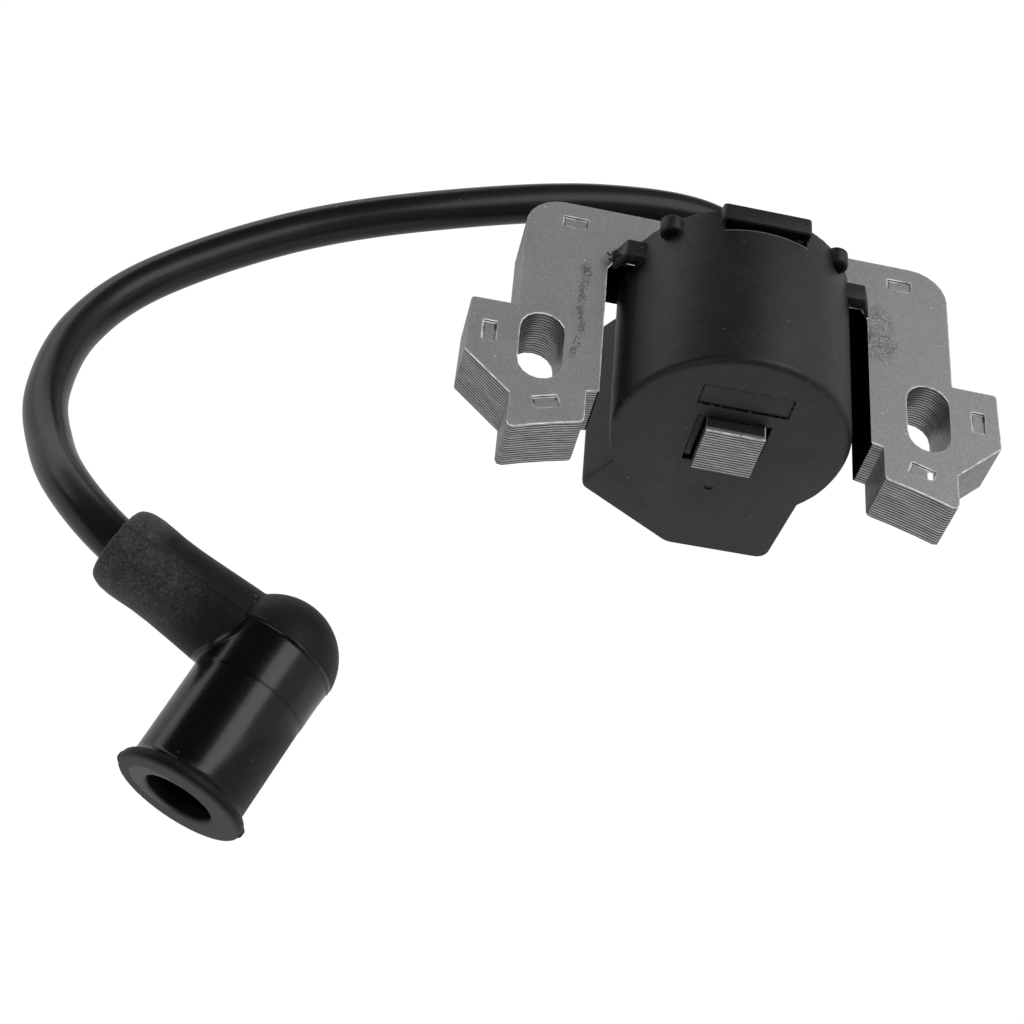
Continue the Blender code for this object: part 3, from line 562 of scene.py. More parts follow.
def mark_lines(shader):
    """Painted shade on the far side and painted highlight on the near side of the line round each interlock mark,
    seen from above or below.
    """
    across = shader.magnitude(shader.reach(X_AXIS))
    side = shader.math("SIGN", shader.reach(X_AXIS))
    forward = shader.reach(Y_AXIS)
    dark, bright = 0.0, 0.0
    for centre_x, centre_y, turn in MARKS:
        off_x = shader.minus(across, centre_x)
        off_y = shader.minus(forward, centre_y)
        cos, sin = math.cos(turn), math.sin(turn)
        u = shader.plus(shader.times(off_x, cos), shader.times(off_y, sin))
        v = shader.minus(shader.times(off_y, cos), shader.times(off_x, sin))
        u = shader.minus(shader.magnitude(u), MARK_SIZE[0] / 2)
        v = shader.minus(shader.magnitude(v), MARK_SIZE[1] / 2)
        u = shader.highest(shader.plus(u, MARK_CORNER), 0.0)
        v = shader.highest(shader.plus(v, MARK_CORNER), 0.0)
        border = shader.minus(shader.vector("LENGTH", shader.pair(u, v)), MARK_CORNER)
        inner = shader.inside(border, -0.36, 0.12, 0.08)
        outer = shader.inside(border, -0.10, 0.30, 0.08)
        leftward = shader.times(shader.times(off_x, side), -0.45)
        behind = shader.between(shader.plus(leftward, shader.times(off_y, 0.9)), -0.2, 0.3)
        dark = shader.highest(dark, shader.times(inner, behind))
        ahead = shader.minus(1.0, shader.times(behind, 0.6))
        bright = shader.highest(bright, shader.times(outer, ahead))
    return dark, bright


def slot_walls(shader):
    """1 on the slots' walls, and the normal of a slot with round ends."""
    across = shader.reach(X_AXIS)
    side = shader.math("SIGN", across)
    off_x = shader.minus(across, shader.times(side, SLOT_X))
    along = shader.minus(shader.reach(Y_AXIS), SLOT_Y)
    held = shader.highest(shader.math("MINIMUM", along, SLOT_STRAIGHT), -SLOT_STRAIGHT)
    towards = shader.pair(shader.times(off_x, -1.0), shader.minus(held, along))
    walls = shader.math("LESS_THAN", shader.vector("LENGTH", towards), SLOT_R + WALL_TOLERANCE)
    return walls, shader.vector("NORMALIZE", towards)


def lamination_steel():
    """Stamped plates: plain grey faces with a fine grain, and edges with a bright sheared band each."""
    shader = Shader("lamination_steel")
    across = shader.reach(X_AXIS)
    forward = shader.reach(Y_AXIS)
    depth = shader.minus(STACK_TOP, shader.reach(Z_AXIS))
    flat = shader.between(shader.facing(Z_AXIS), 0.4, 0.6)
    # faces inside the stack, seen through the gaps between plates, are finished like edges
    on_top = shader.math("LESS_THAN", depth, TOP_FACE_DEPTH)
    outer = shader.highest(on_top, shader.math("GREATER_THAN", depth, STACK_TOP * 2 - 0.1))
    flat = shader.times(flat, outer)

    # the plates' edges
    waver = shader.centred(shader.noise(1.2, 3.0, stretch=(1, 1, 0.4)), 0.30)
    sway = shader.centred(shader.noise(7.0, 2.0, stretch=(1, 1, 0.4)), 0.35)
    waver = shader.plus(waver, sway)
    phase = shader.math("FRACT", shader.plus(shader.math("DIVIDE", depth, PLATE_PITCH), waver))
    sheared = shader.ramp(phase, SHEARED_EDGE)
    streak = shader.noise(0.9, 4.0, 0.7, stretch=(4, 4, 0.3))
    uneven = shader.noise(5.0, 3.0, 0.6, stretch=(1, 1, 0.12))
    worn_edge = shader.plus(shader.times(streak, 1.3), shader.times(uneven, 0.9))
    edge_grey = shader.times(sheared, shader.minus(worn_edge, 0.12))
    # painted shade: the side faces between the outer legs, from the housing's front to the yoke's front, are
    # painted black and given no shine, standing in for the deep shade in that gap
    painted_shade = shader.math("LESS_THAN", shader.magnitude(across), LEG_IN + 0.25)
    painted_shade = shader.times(painted_shade, shader.inside(forward, HOUSING_FRONT - 1.4, YOKE_FRONT + 0.3, 0.2))
    edge_grey = shader.mix(shader.times(painted_shade, 0.995), edge_grey, 0.004)

    # the top and bottom faces
    grain = shader.noise(0.30, 4.0, 0.7)
    clouds = shader.noise(7.0, 2.0)
    face_grey = shader.plus(shader.times(grain, 0.60), shader.times(clouds, 0.05))
    face_grey = shader.plus(face_grey, 0.16)
    worn, polished = scuffs(shader)
    face_grey = shader.mix(shader.times(polished, 0.40), face_grey, 0.9)
    face_grey = shader.mix(shader.times(worn, 0.72), face_grey, 0.11)
    # painted shade and painted highlight round each interlock mark
    mark_shade_line, mark_highlight_line = mark_lines(shader)
    face_grey = shader.mix(shader.times(mark_shade_line, 0.95), face_grey, 0.01)
    face_grey = shader.mix(shader.times(shader.specks(1.9, 0.06), 0.6), face_grey, 0.95)
    pole = shader.math("LESS_THAN", shader.magnitude(across), 8.0)
    varnish = shader.times(pole, shader.inside(forward, 0.65, HOUSING_FRONT + 3, 0.35))
    varnish = shader.times(varnish, shader.between(shader.noise(0.6, 4.0, 0.7), 0.26, 0.42))
    face_grey = shader.mix(shader.times(varnish, 0.92), face_grey, 0.03)

    # painted highlight where an edge turns towards the front, over fainter real burrs along every edge
    round_edge = shader.rounded(0.45)
    tilt = shader.vector("SUBTRACT", round_edge, shader.add("ShaderNodeNewGeometry").outputs["True Normal"])
    towards_front = shader.between(shader.vector("DOT_PRODUCT", tilt, (0.15, -0.95, 0.0)), 0.02, 0.11)
    any_edge = shader.between(shader.vector("LENGTH", tilt), 0.10, 0.35)
    patchy = shader.between(shader.noise(1.1, 3.0, 0.6), 0.24, 0.44)
    broken = shader.between(shader.noise(2.2, 4.0, 0.7), 0.40, 0.60)
    towards_front = shader.times(towards_front, patchy)
    burr_and_highlight = shader.highest(towards_front, shader.times(any_edge, 0.22))
    mark_highlight_line = shader.times(mark_highlight_line, shader.scaled(broken, 0.5, 0.1))
    # painted highlight: a white patch in the right pole's mark
    glint = shader.times(shader.inside(across, *GLINT_X, 0.3), shader.inside(forward, *GLINT_Y, 0.3))
    burr_and_highlight = shader.highest(burr_and_highlight, shader.highest(mark_highlight_line, glint))
    burr_and_highlight = shader.times(burr_and_highlight, flat)
    # painted glow: the bright front edges and the glint give off light through emission
    glare = shader.times(shader.times(towards_front, broken), 0.35)
    glare = shader.times(shader.highest(glare, shader.times(glint, 0.6)), flat)

    grey = shader.mix(flat, edge_grey, face_grey)
    grey = shader.mix(shader.times(burr_and_highlight, 0.95), grey, 1.0)
    roughness = shader.mix(flat, 0.40, shader.scaled(clouds, 0.16, 0.42))
    roughness = shader.mix(burr_and_highlight, roughness, 0.5)
    walls, slot_normal = slot_walls(shader)
    walls = shader.times(walls, shader.minus(1.0, flat))
    blend = shader.add("ShaderNodeMix", data_type="VECTOR")
    shader.put(walls, blend.inputs["Factor"])
    shader.put(shader.rounded(0.07), blend.inputs[4])
    shader.put(slot_normal, blend.inputs[5])
    shader.relief(grain, 0.008, base=blend.outputs[1])
    shader.relief(worn, 0.04)
    # the painted shade also takes the metal's shine away there
    outside_painted_shade = shader.minus(1.0, shader.times(painted_shade, shader.minus(1.0, flat)))
    metallic = shader.times(shader.mix(flat, 0.75, 0.50), outside_painted_shade)
    metallic = shader.times(metallic, shader.minus(1.0, burr_and_highlight))
    specular = shader.mix(outside_painted_shade, 0.0, 0.5)
    tone = shader.tint(grey, (1.0, 1.0, 1.005))
    return shader.done(tone, roughness, metallic, Specular_IOR_Level=specular, Emission_Strength=glare)


def dusty(shader, dark, light, share):
    """A dark moulded colour with pale dust specks and faint smudges."""
    smudge = shader.between(shader.noise(5.0, 4.0, 0.6), 0.42, 0.75)
    grey = shader.mix(smudge, dark, light)
    dust = shader.highest(shader.specks(1.5, share), shader.times(shader.specks(0.8, share), 0.5))
    return shader.mix(shader.times(dust, 0.7), grey, 0.20)


def outline_of(shader, x_span, z_span, width):
    """1 along a rectangle's outline on the housing's front."""
    (x0, x1), (z0, z1) = x_span, z_span
    off_x = shader.magnitude(shader.minus(shader.reach(X_AXIS), (x0 + x1) / 2))
    off_z = shader.magnitude(shader.minus(shader.reach(Z_AXIS), (z0 + z1) / 2))
    off_x = shader.minus(off_x, (x1 - x0) / 2)
    off_z = shader.minus(off_z, (z1 - z0) / 2)
    edge = shader.magnitude(shader.highest(off_x, off_z))
    front = shader.between(shader.reach(Y_AXIS), HOUSING_FRONT + 0.6, HOUSING_FRONT + 0.4)
    return shader.times(shader.between(edge, width, width * 0.4), front)


def housing_plastic():
    shader = Shader("housing_plastic")
    grey = dusty(shader, 0.015, 0.024, 0.06)
    grain = shader.noise(0.36, 4.0, 0.75)
    grey = shader.times(grey, shader.scaled(grain, 4.0, -1.0))
    rub = shader.between(shader.noise(1.4, 4.0, 0.7, stretch=(1, 3, 1)), 0.55, 0.8)
    # painted highlight: sharp edges are lightened
    edge = shader.edges(0.18)
    grey = shader.mix(shader.times(edge, 0.7), grey, 0.11)
    # painted shade: a dark, dull line round the label's recess
    label_shade_line = outline_of(shader, LABEL_X, LABEL_Z, 0.20)
    label_shade_line = shader.times(label_shade_line, shader.between(shader.noise(0.9, 3.0), 0.30, 0.52))
    grey = shader.mix(shader.times(label_shade_line, 0.9), grey, 0.002)
    # painted highlight along the top of the wall in front of the bar's slot
    slot_wall_highlight = shader.inside(shader.reach(Y_AXIS), BAR_SLOT_FRONT - 0.25, BAR_SLOT_FRONT, 0.08)
    slot_wall_highlight = shader.times(slot_wall_highlight, shader.inside(shader.reach(X_AXIS), BAR_X[0] + 0.4, BAR_X[1], 0.3))
    slot_wall_highlight = shader.times(slot_wall_highlight, shader.between(shader.reach(Z_AXIS), 15.0, 16.0))
    grey = shader.mix(shader.times(slot_wall_highlight, 0.8), grey, 0.30)
    roughness = shader.scaled(rub, 0.12, 0.46)
    shader.relief(grain, 0.022, rounding=0.16)
    shader.relief(shader.noise(3.5, 3.0, 0.5), 0.05)
    specular = shader.mix(label_shade_line, 0.5, 0.05)
    return shader.done(shader.tint(grey, (1.0, 1.0, 1.02)), roughness, Specular_IOR_Level=specular)


def potting_resin():
    shader = Shader("potting_resin")
    grey = dusty(shader, 0.010, 0.015, 0.03)
    swirl = shader.noise(4.0, 3.0, 0.5, warp=1.0)
    shader.relief(swirl, 0.12)
    roughness = shader.scaled(swirl, 0.25, 0.12)
    return shader.done(shader.tint(grey), roughness)


def lead_rubber():
    shader = Shader("lead_rubber")
    grey = dusty(shader, 0.013, 0.018, 0.02)
    scuff = shader.between(shader.noise(1.2, 5.0, 0.75), 0.60, 0.78)
    roughness = shader.scaled(scuff, 0.15, 0.27)
    shader.relief(shader.noise(2.2, 2.0, 0.5), 0.012)
    shader.relief(shader.noise(0.25, 2.0, 0.5), 0.002)
    return shader.done(shader.tint(grey), roughness, Specular_IOR_Level=0.36)


def boot_rubber():
    """Smooth on the barrel, spark-eroded grain on the dome and the sleeve, and a dull ground mouth."""
    shader = Shader("boot_rubber")
    along_sleeve = shader.reach(SLEEVE_DIRECTION, ELBOW)
    along_barrel = shader.reach(BARREL_DIRECTION, ELBOW)
    out = shader.reach(BOOT_NORMAL, ELBOW)
    squares = shader.plus(shader.math("POWER", along_sleeve, 2.0), shader.math("POWER", out, 2.0))
    radius = shader.math("SQRT", squares)
    smooth = shader.inside(along_barrel, DOME_BASE, BARREL_LENGTH - 1.9, 0.3)
    smooth = shader.times(smooth, shader.between(radius, BARREL_R + 0.75, BARREL_R + 0.45))
    mouth = shader.between(along_barrel, BARREL_LENGTH - 0.5, BARREL_LENGTH - 0.1)
    grain = shader.noise(0.34, 4.0, 0.75)
    grey = dusty(shader, 0.006, 0.010, 0.06)
    # painted highlight: the sleeve's lower side and its collar are lightened in patches
    lower_side = shader.between(shader.reach(SLEEVE_DIRECTION.cross(BOOT_NORMAL), ELBOW), 2.5, -1.0)
    sleeve_highlight = shader.times(shader.between(along_sleeve, 9.0, 19.0), lower_side)
    collar = shader.between(along_sleeve, 21.0, 24.0)
    sleeve_highlight = shader.times(shader.highest(sleeve_highlight, collar), shader.noise(2.5, 5.0, 0.7))
    grey = shader.mix(shader.times(sleeve_highlight, 1.5), grey, 0.095)
    speckle = shader.between(shader.noise(0.42, 4.0, 0.8), 0.36, 0.72)
    grey = shader.times(grey, shader.scaled(speckle, 1.4, 0.45))
    grey = shader.mix(smooth, grey, shader.scaled(speckle, 0.004, 0.003))
    seam = shader.inside(along_barrel, SEAM_RING - 0.10, SEAM_RING + 0.10, 0.12)
    groove = shader.inside(along_barrel, BARREL_LENGTH - 2.2, BARREL_LENGTH - 2.0, 0.12)
    line = shader.times(shader.highest(seam, groove), smooth)
    grey = shader.mix(shader.times(shader.specks(1.1, 0.05), 0.5), grey, 0.16)
    grey = shader.mix(line, grey, 0.001)
    grey = shader.mix(mouth, grey, shader.scaled(grain, 0.075, 0.004))
    # painted highlight round the bore's edge on the mouth
    bore_rim_highlight = shader.times(mouth, shader.between(radius, BARREL_BORE + 0.9, BARREL_BORE + 0.4))
    grey = shader.mix(bore_rim_highlight, grey, 0.12)
    dull = shader.scaled(shader.noise(3.0, 4.0, 0.6), 0.22, 0.38)
    rub = shader.times(shader.between(shader.noise(1.6, 5.0, 0.75), 0.5, 0.8), 0.12)
    roughness = shader.mix(smooth, dull, shader.plus(rub, 0.20))
    roughness = shader.mix(mouth, roughness, 0.62)
    rough_parts = shader.mix(smooth, grain, shader.times(grain, 0.08))
    shader.relief(rough_parts, 0.060)
    shader.relief(shader.noise(2.6, 2.0, 0.5), 0.02)
    specular = shader.mix(shader.highest(smooth, mouth), 0.26, 0.5)
    specular = shader.mix(line, specular, 0.1)
    return shader.done(shader.tint(grey), roughness, Specular_IOR_Level=specular)


def moulded(name, colour, roughness, grain_size=0.3):
    """A plain moulded or dipped finish with a fine grain and slight mottling."""
    shader = Shader(name)
    mottle = shader.scaled(shader.noise(2.0, 3.0), 0.4, 0.8)
    shader.relief(shader.noise(grain_size, 3.0), 0.01, rounding=0.1)
    rough = shader.plus(shader.times(shader.noise(1.0, 2.0), 0.2), roughness - 0.1)
    return shader.done(shader.tint(mottle, colour), rough)


def drawn_metal(name, colour, roughness, stretch=(1, 6, 1)):
    """Strip or wire with faint marks along its length and brighter edges."""
    shader = Shader(name)
    marks = shader.noise(0.3, 3.0, 0.6, stretch=stretch)
    value = shader.scaled(marks, 0.4, 0.75)
    value = shader.plus(value, shader.times(shader.edges(0.06), 0.3))
    rough = shader.plus(shader.times(marks, 0.2), roughness - 0.1)
    shader.relief(marks, 0.006, rounding=0.05)
    return shader.done(shader.tint(value, colour), rough, 1.0)


def wound_copper():
    """Enamelled wire laid in turns side by side along Y."""
    shader = Shader("wound_copper")
    turns = shader.math("PINGPONG", shader.reach(Y_AXIS), 0.11)
    ridge = shader.math("POWER", shader.math("DIVIDE", turns, 0.11), 0.5)
    shader.relief(ridge, 0.05)
    # painted shade: the wire is darker in the grooves between turns
    value = shader.scaled(ridge, 0.6, 0.4)
    return shader.done(shader.tint(value, (0.62, 0.22, 0.08)), 0.28, 0.9)


def board_laminate():
    shader = Shader("board_laminate")
    weave_x = shader.math("PINGPONG", shader.reach(X_AXIS), 0.4)
    weave_y = shader.math("PINGPONG", shader.reach(Y_AXIS), 0.4)
    weave = shader.plus(weave_x, weave_y)
    shader.relief(weave, 0.02)
    value = shader.scaled(weave, 0.5, 0.8)
    return shader.done(shader.tint(value, (0.03, 0.13, 0.05)), 0.42)


# ---------------------------------------------------------------- housing

def housing_outline():
    """Cross-section of the housing: most of a circle, with the chamber's rounded corners below it."""
    sides = 144
    sweep = CHAMBER_LEFT_ANGLE - CHAMBER_RIGHT_ANGLE
    steps = round(sides * sweep / (2 * math.pi))
    outline = arc((HOUSING_X, 0), HOUSING_R, CHAMBER_RIGHT_ANGLE, CHAMBER_LEFT_ANGLE, steps)
    first, last = outline[0], outline[-1]
    corners = [Vector(corner) for corner, _ in CHAMBER_CORNERS]
    for i, (_, radius) in enumerate(CHAMBER_CORNERS):
        before = corners[i - 1] if i else last
        after = corners[i + 1] if i + 1 < len(corners) else first
        outline += rounded_corner(before, corners[i], after, radius)
    return outline


def torn_rim(rings, amount):
    """Lets the moulding's back rim wander a little, as flash does where it tears."""
    for points in rings:
        for i, (x, y, z) in enumerate(points):
            wander = noise.noise(Vector((x * 0.9, z * 0.9, 3.1)))
            wander += 0.5 * noise.noise(Vector((x * 2.7, z * 2.7, 8.2)))
            points[i] = (x, y + amount * min(wander, 0.0), z)


def housing_body():
    """The cup: rounded front, straight outside, rim, and the cavity's walls."""
    outline = housing_outline()
    rings = fillet(outline, HOUSING_FRONT, FRONT_FILLET, 6, LOW_FILLET_SHARE)
    inner = inset(outline, HOUSING_WALL)
    rim = (
        (HOUSING_BACK - 1.0, outline),
        (HOUSING_BACK - 0.15, outline),
        (HOUSING_BACK, inset(outline, 0.15)),
        (HOUSING_BACK, inset(outline, HOUSING_WALL - 0.2)),
        (HOUSING_BACK - 0.2, inner),
        (HOUSING_FRONT + HOUSING_WALL, inner),
    )
    rings = along_y([*rings, *rim])
    back_edge = rings[-5:-1]
    torn_rim(back_edge, 0.5)
    return skin(rings)


def rim_bar():
    outline = rectangle(BAR_X, (HOUSING_R - 3, BAR_TOP), 0.7)
    return rounded_prism_y(outline, BAR_FRONT, HOUSING_BACK, 0.3)


def lug_centre(angle):
    return Vector((HOUSING_X, 0, 0)) + Vector((math.cos(angle), 0, math.sin(angle))) * HOUSING_R


def rim_lug(angle):
    front = BAR_FRONT + 0.2
    profile = (
        (front, LUG_R - 0.55),
        (front + 0.15, LUG_R - 0.12),
        (front + 0.5, LUG_R),
        (HOUSING_BACK - 0.4, LUG_R),
        (HOUSING_BACK - 0.1, LUG_R - 0.25),
    )
    return turned(lug_centre(angle), Vector(Y_AXIS), profile, 28)


def lug_hollow(angle):
    """The scoop in the front end of a lug, which also bites into the wall in front of it."""
    profile = ((-0.8, 0.3), (-0.6, 0.8), (-0.3, 1.2), (0.0, 1.35), (0.9, 1.2))
    profile = [(BAR_FRONT + y, radius) for y, radius in profile]
    return turned(lug_centre(angle), Vector(Y_AXIS), profile, 32)


def mirrored(outline, side):
    """An outline on the housing's right side, or its mirror image on the left."""
    if side > 0:
        return [(HOUSING_X + x, z) for x, z in outline]
    return [(HOUSING_X - x, z) for x, z in reversed(outline)]


def hook(side):
    root = HOUSING_R - 3
    foot, top = HOOK_REACH
    corners = ((root, YOKE_BAND), (foot, YOKE_BAND), (top, HOOK_TOP), (root, HOOK_TOP))
    return rounded_prism_y(rounded_polygon(mirrored(corners, side), 0.35), *HOOK_Y, 0.3)


def hook_hollow(side):
    """The deep recess below a hook's top."""
    root = HOUSING_R - 1.3
    foot, top = HOOK_REACH
    low, high = YOKE_BAND - 1, HOOK_TOP - 1.2
    corners = ((root, low), (foot - 0.4, low), (top - 0.2, high), (root, high))
    return prism_y(rounded_polygon(mirrored(corners, side), 0.2), HOOK_Y[0] - 1, HOOK_Y[0] + 2.0)


def bar_slot():
    """The opening below the bar. It goes through the wall, and shows the resin inside."""
    outline = rectangle((BAR_X[0] + 0.6, BAR_X[1] - 0.4), (HOUSING_R - 3.4, HOUSING_R + 0.03), 0.2)
    return prism_y(outline, BAR_SLOT_FRONT, BAR_FRONT + 1.7)


def shavings():
    """A tangle of flash that hangs on the left hook's side."""
    rng = random.Random(SHAVINGS_SEED)
    curls = []
    for _ in range(SHAVING_CURLS):
        point = Vector(SHAVINGS_START)
        path = [point]
        for _ in range(SHAVING_STEPS):
            step = Vector((rng.uniform(-1, 0.8), rng.uniform(-1, 1), rng.uniform(-0.9, 0.6)))
            point = point + step.normalized() * rng.uniform(0.4, 1.0)
            path.append(Vector((max(point.x, -23.2), min(max(point.y, 32.6), 36.0), max(point.z, 5.2))))
        curls.append(tube(spline(path, 5), rng.uniform(0.10, 0.20), 6))
    return curls


def housing_shell(plastic):
    shell = to_object("housing_shell", housing_body())
    additions = [rim_bar(), *[rim_lug(a) for a in LUG_ANGLES], hook(-1), hook(1)]
    combine(shell, additions, "UNION")
    band = prism_y(rectangle((-30, 30), (-YOKE_BAND, YOKE_BAND), 0.2), YOKE_FRONT - 0.4, HOUSING_BACK + 5)
    through = HOUSING_FRONT + HOUSING_WALL + 0.4
    window = prism_y(rectangle(WINDOW_X, WINDOW_Z, 0.25), HOUSING_FRONT - 1, through)
    label = prism_y(rectangle(LABEL_X, LABEL_Z, 0.2), HOUSING_FRONT - 1, HOUSING_FRONT + LABEL_DEPTH)
    dimple_profile = ((0, DIMPLE_RADII[0]), (HOUSING_FRONT + DIMPLE_DEPTH, DIMPLE_RADII[1]))
    dimple = turned(Vector(DIMPLE_CENTRE), Vector(Y_AXIS), dimple_profile, 20)
    hollows = [bar_slot(), *[lug_hollow(a) for a in LUG_ANGLES], hook_hollow(-1), hook_hollow(1)]
    combine(shell, [band, window, label, dimple, *hollows], "DIFFERENCE")
    combine(shell, shavings(), "UNION")
    shade(shell, HOUSING_SHARP_ANGLE)
    finish_piece(shell, plastic, "coil_housing", "coil")


# ---------------------------------------------------------------- high-tension lead

def spline(points, per_span):
    """A Catmull-Rom curve through the points."""
    padded = [2 * points[0] - points[1], *points, 2 * points[-1] - points[-2]]
    curve = []
    for p0, p1, p2, p3 in zip(padded, padded[1:], padded[2:], padded[3:]):
        for i in range(per_span):
            t = i / per_span
            linear = (p2 - p0) * t
            square = (2 * p0 - 5 * p1 + 4 * p2 - p3) * t**2
            cube = (3 * p1 - p0 - 3 * p2 + p3) * t**3
            curve.append(0.5 * (2 * p1 + linear + square + cube))
    return [*curve, points[-1]]


def lead_points():
    """The centreline's points, with a straight end inside the boot's sleeve."""
    mouth = ELBOW + SLEEVE_DIRECTION * (SLEEVE_LENGTH - 1.2)
    inside = ELBOW + SLEEVE_DIRECTION * SLEEVE_LENGTH * 0.4
    return [*map(Vector, LEAD_PATH), mouth, inside]


def tube(centreline, radius, sides):
    """A rod round the centreline, closed at both ends."""
    side = (centreline[1] - centreline[0]).orthogonal().normalized()
    rings = []
    for i, point in enumerate(centreline):
        tangent = (centreline[min(i + 1, len(centreline) - 1)] - centreline[max(i - 1, 0)]).normalized()
        side = (side - tangent * side.dot(tangent)).normalized()
        rings.append(ring(point, side, tangent.cross(side), radius, sides))
    return skin(rings)


def high_tension_lead(rubber, copper):
    """Two lengths of lead that meet half way between the hinges."""
    per_span = 24
    curve = spline(lead_points(), per_span)
    meeting = (SWING_POINT + LIFT_POINT) // 2 * per_span
    bends = (
        ("a", 0, meeting + 1, SWING_POINT, ("coil", "lead_middle"), ("root", "flex_a", "middle")),
        ("b", meeting, len(curve), LIFT_POINT, ("lead_middle", "lead_end"), ("flex_b", "end")),
    )
    for name, first, last, hinge, bodies, replaced in bends:
        kinds = (("insulation", "cover", LEAD_R, 48, rubber), ("conductor", "core", CONDUCTOR_R, 12, copper))
        for cad_name, own_name, radius, sides, material in kinds:
            piece = to_object(f"lead_{own_name}_{name}", tube(curve[first:last], radius, sides))
            piece.data.materials.append(material)
            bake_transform(piece)
            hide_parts(*[f"lead_{cad_name}_{part}" for part in replaced])


# ---------------------------------------------------------------- spark-plug boot

def barrel_profile():
    """Outside of the barrel from the dome's top to the mouth: distance from the elbow, and radius."""
    steps = 14
    dome = []
    for i in range(steps):
        angle = math.pi / 2 * (i + 0.35) / steps
        dome.append((DOME_CENTRE - DOME_R * math.cos(angle), DOME_R * math.sin(angle)))
    dome = [(distance, radius) for distance, radius in dome if distance < DOME_BASE - 0.1]
    below = [(DOME_BASE, DOME_R), (DOME_BASE + 0.2, DOME_R - 0.18), (2.0, BARREL_R + 0.2)]
    seam = [(SEAM_RING - 0.1, BARREL_R + 0.10), (SEAM_RING, BARREL_R + 0.02)]
    end = BARREL_LENGTH
    flange = [
        (end - 3.0, BARREL_R),
        (end - 2.5, BARREL_R + 0.08),
        (end - 2.1, BARREL_R + 0.32),
        (end - 1.85, BARREL_R + 0.75),
        (end - 1.6, MOUTH_R - 0.12),
        (end - 1.2, MOUTH_R),
        (end - 0.5, MOUTH_R - 0.03),
        (end - 0.15, MOUTH_R - 0.2),
        (end, MOUTH_R - 0.5),
    ]
    return dome + below + seam + flange


def sleeve_profile():
    """Outside of the sleeve: a collar with a round end, a slight waist, and a flare into the elbow."""
    return (
        (-2.0, 7.0),
        (3.0, 7.1),
        (8.0, 6.95),
        (13.0, 6.65),
        (17.5, 6.42),
        (20.5, 6.40),
        (22.8, 6.55),
        (24.6, 6.62),
        (26.2, 6.50),
        (27.2, 6.20),
        (27.9, 5.80),
        (SLEEVE_LENGTH, 5.30),
    )


def soften(obj, voxel, passes):
    """Gives the joined body one even skin, and rounds the creases where its forms meet."""
    remesh = obj.modifiers.new("skin", "REMESH")
    remesh.mode = "VOXEL"
    remesh.voxel_size = voxel * MM
    remesh.use_smooth_shade = True
    smooth = obj.modifiers.new("smooth", "SMOOTH")
    smooth.factor = 0.5
    smooth.iterations = passes
    settle(obj)


def raise_seams(obj):
    """The mould's parting lines: along the sleeve and over the dome's base, and nibs on the mouth's rim."""
    up = SLEEVE_DIRECTION.cross(BOOT_NORMAL)
    if up.dot(BARREL_DIRECTION) > 0:
        up = -up
    normals = [vertex.normal.copy() for vertex in obj.data.vertices]
    for vertex, normal in zip(obj.data.vertices, normals):
        away = vertex.co / MM - ELBOW
        out, down = away.dot(BOOT_NORMAL), away.dot(BARREL_DIRECTION)
        lift = 0.0
        if out > 0 and down < 3:
            lift = SEAM_HEIGHT * math.exp(-(((away.dot(up) - SEAM_OFFSET) / SEAM_WIDTH) ** 2))
        if down > BARREL_LENGTH - 2:
            rim = (away - BARREL_DIRECTION * down).length - MOUTH_R
            lift = NIB_HEIGHT * math.exp(-((out / NIB_WIDTH) ** 2)) * min(1, max(0, 1 + rim / 0.5))
        vertex.co += normal * MM * lift


def boot_cover(rubber):
    boot = to_object("boot_cover", turned(ELBOW, BARREL_DIRECTION, barrel_profile(), 128))
    combine(boot, [turned(ELBOW, SLEEVE_DIRECTION, sleeve_profile(), 96)], "UNION")
    end, radius = BARREL_LENGTH, BARREL_BORE
    barrel_bore = ((-4.0, radius), (end - 0.5, radius), (end + 0.4, radius + 0.5))
    end, radius = SLEEVE_LENGTH, SLEEVE_BORE
    sleeve_bore = ((1.0, radius), (end - 3, radius), (end + 0.3, radius + 0.9))
    cutters = [turned(ELBOW, BARREL_DIRECTION, barrel_bore, 96)]
    cutters.append(turned(ELBOW, SLEEVE_DIRECTION, sleeve_bore, 64))
    combine(boot, cutters, "DIFFERENCE")
    soften(boot, BOOT_VOXEL, BOOT_SMOOTHING)
    raise_seams(boot)
    boot.data.shade_smooth()
    finish_piece(boot, rubber, "plug_boot", "boot")


# ---------------------------------------------------------------- carried-over nodes

def paint(names, material):
    for name in names:
        node = frame["nodes"][name]
        node.data.materials.clear()
        node.data.materials.append(material)
        shade(node)


def paint_cad_nodes(plastic, copper):
    brass = drawn_metal("tinned_brass", (0.62, 0.56, 0.42), 0.32)
    epoxy = moulded("component_epoxy", (0.02, 0.02, 0.022), 0.45)
    bobbin = moulded("bobbin_plastic", (0.55, 0.52, 0.44), 0.5)
    paint([name for name in frame["nodes"] if name.startswith("lamination_")], lamination_steel())
    paint(["potting_compound"], potting_resin())
    paint(["core_wedge"], plastic)
    paint(["primary_bobbin", "secondary_bobbin"], bobbin)
    paint(["primary_winding", "secondary_winding"], wound_copper())
    paint(["circuit_board"], board_laminate())
    paint(["power_transistor", "trigger_chip", "clamp_diode"], epoxy)
    paint(["film_capacitor"], moulded("capacitor_film", (0.45, 0.07, 0.04), 0.3))
    paint(["base_resistor"], moulded("resistor_coating", (0.5, 0.36, 0.2), 0.5))
    paint(["ground_strap", "kill_terminal", "high_tension_terminal", "plug_terminal"], brass)
    paint(["clip_ring"], drawn_metal("spring_steel", (0.45, 0.45, 0.46), 0.28))
    paint(["primary_wire_start", "primary_wire_end", "secondary_wire"], copper)


# ---------------------------------------------------------------- stage

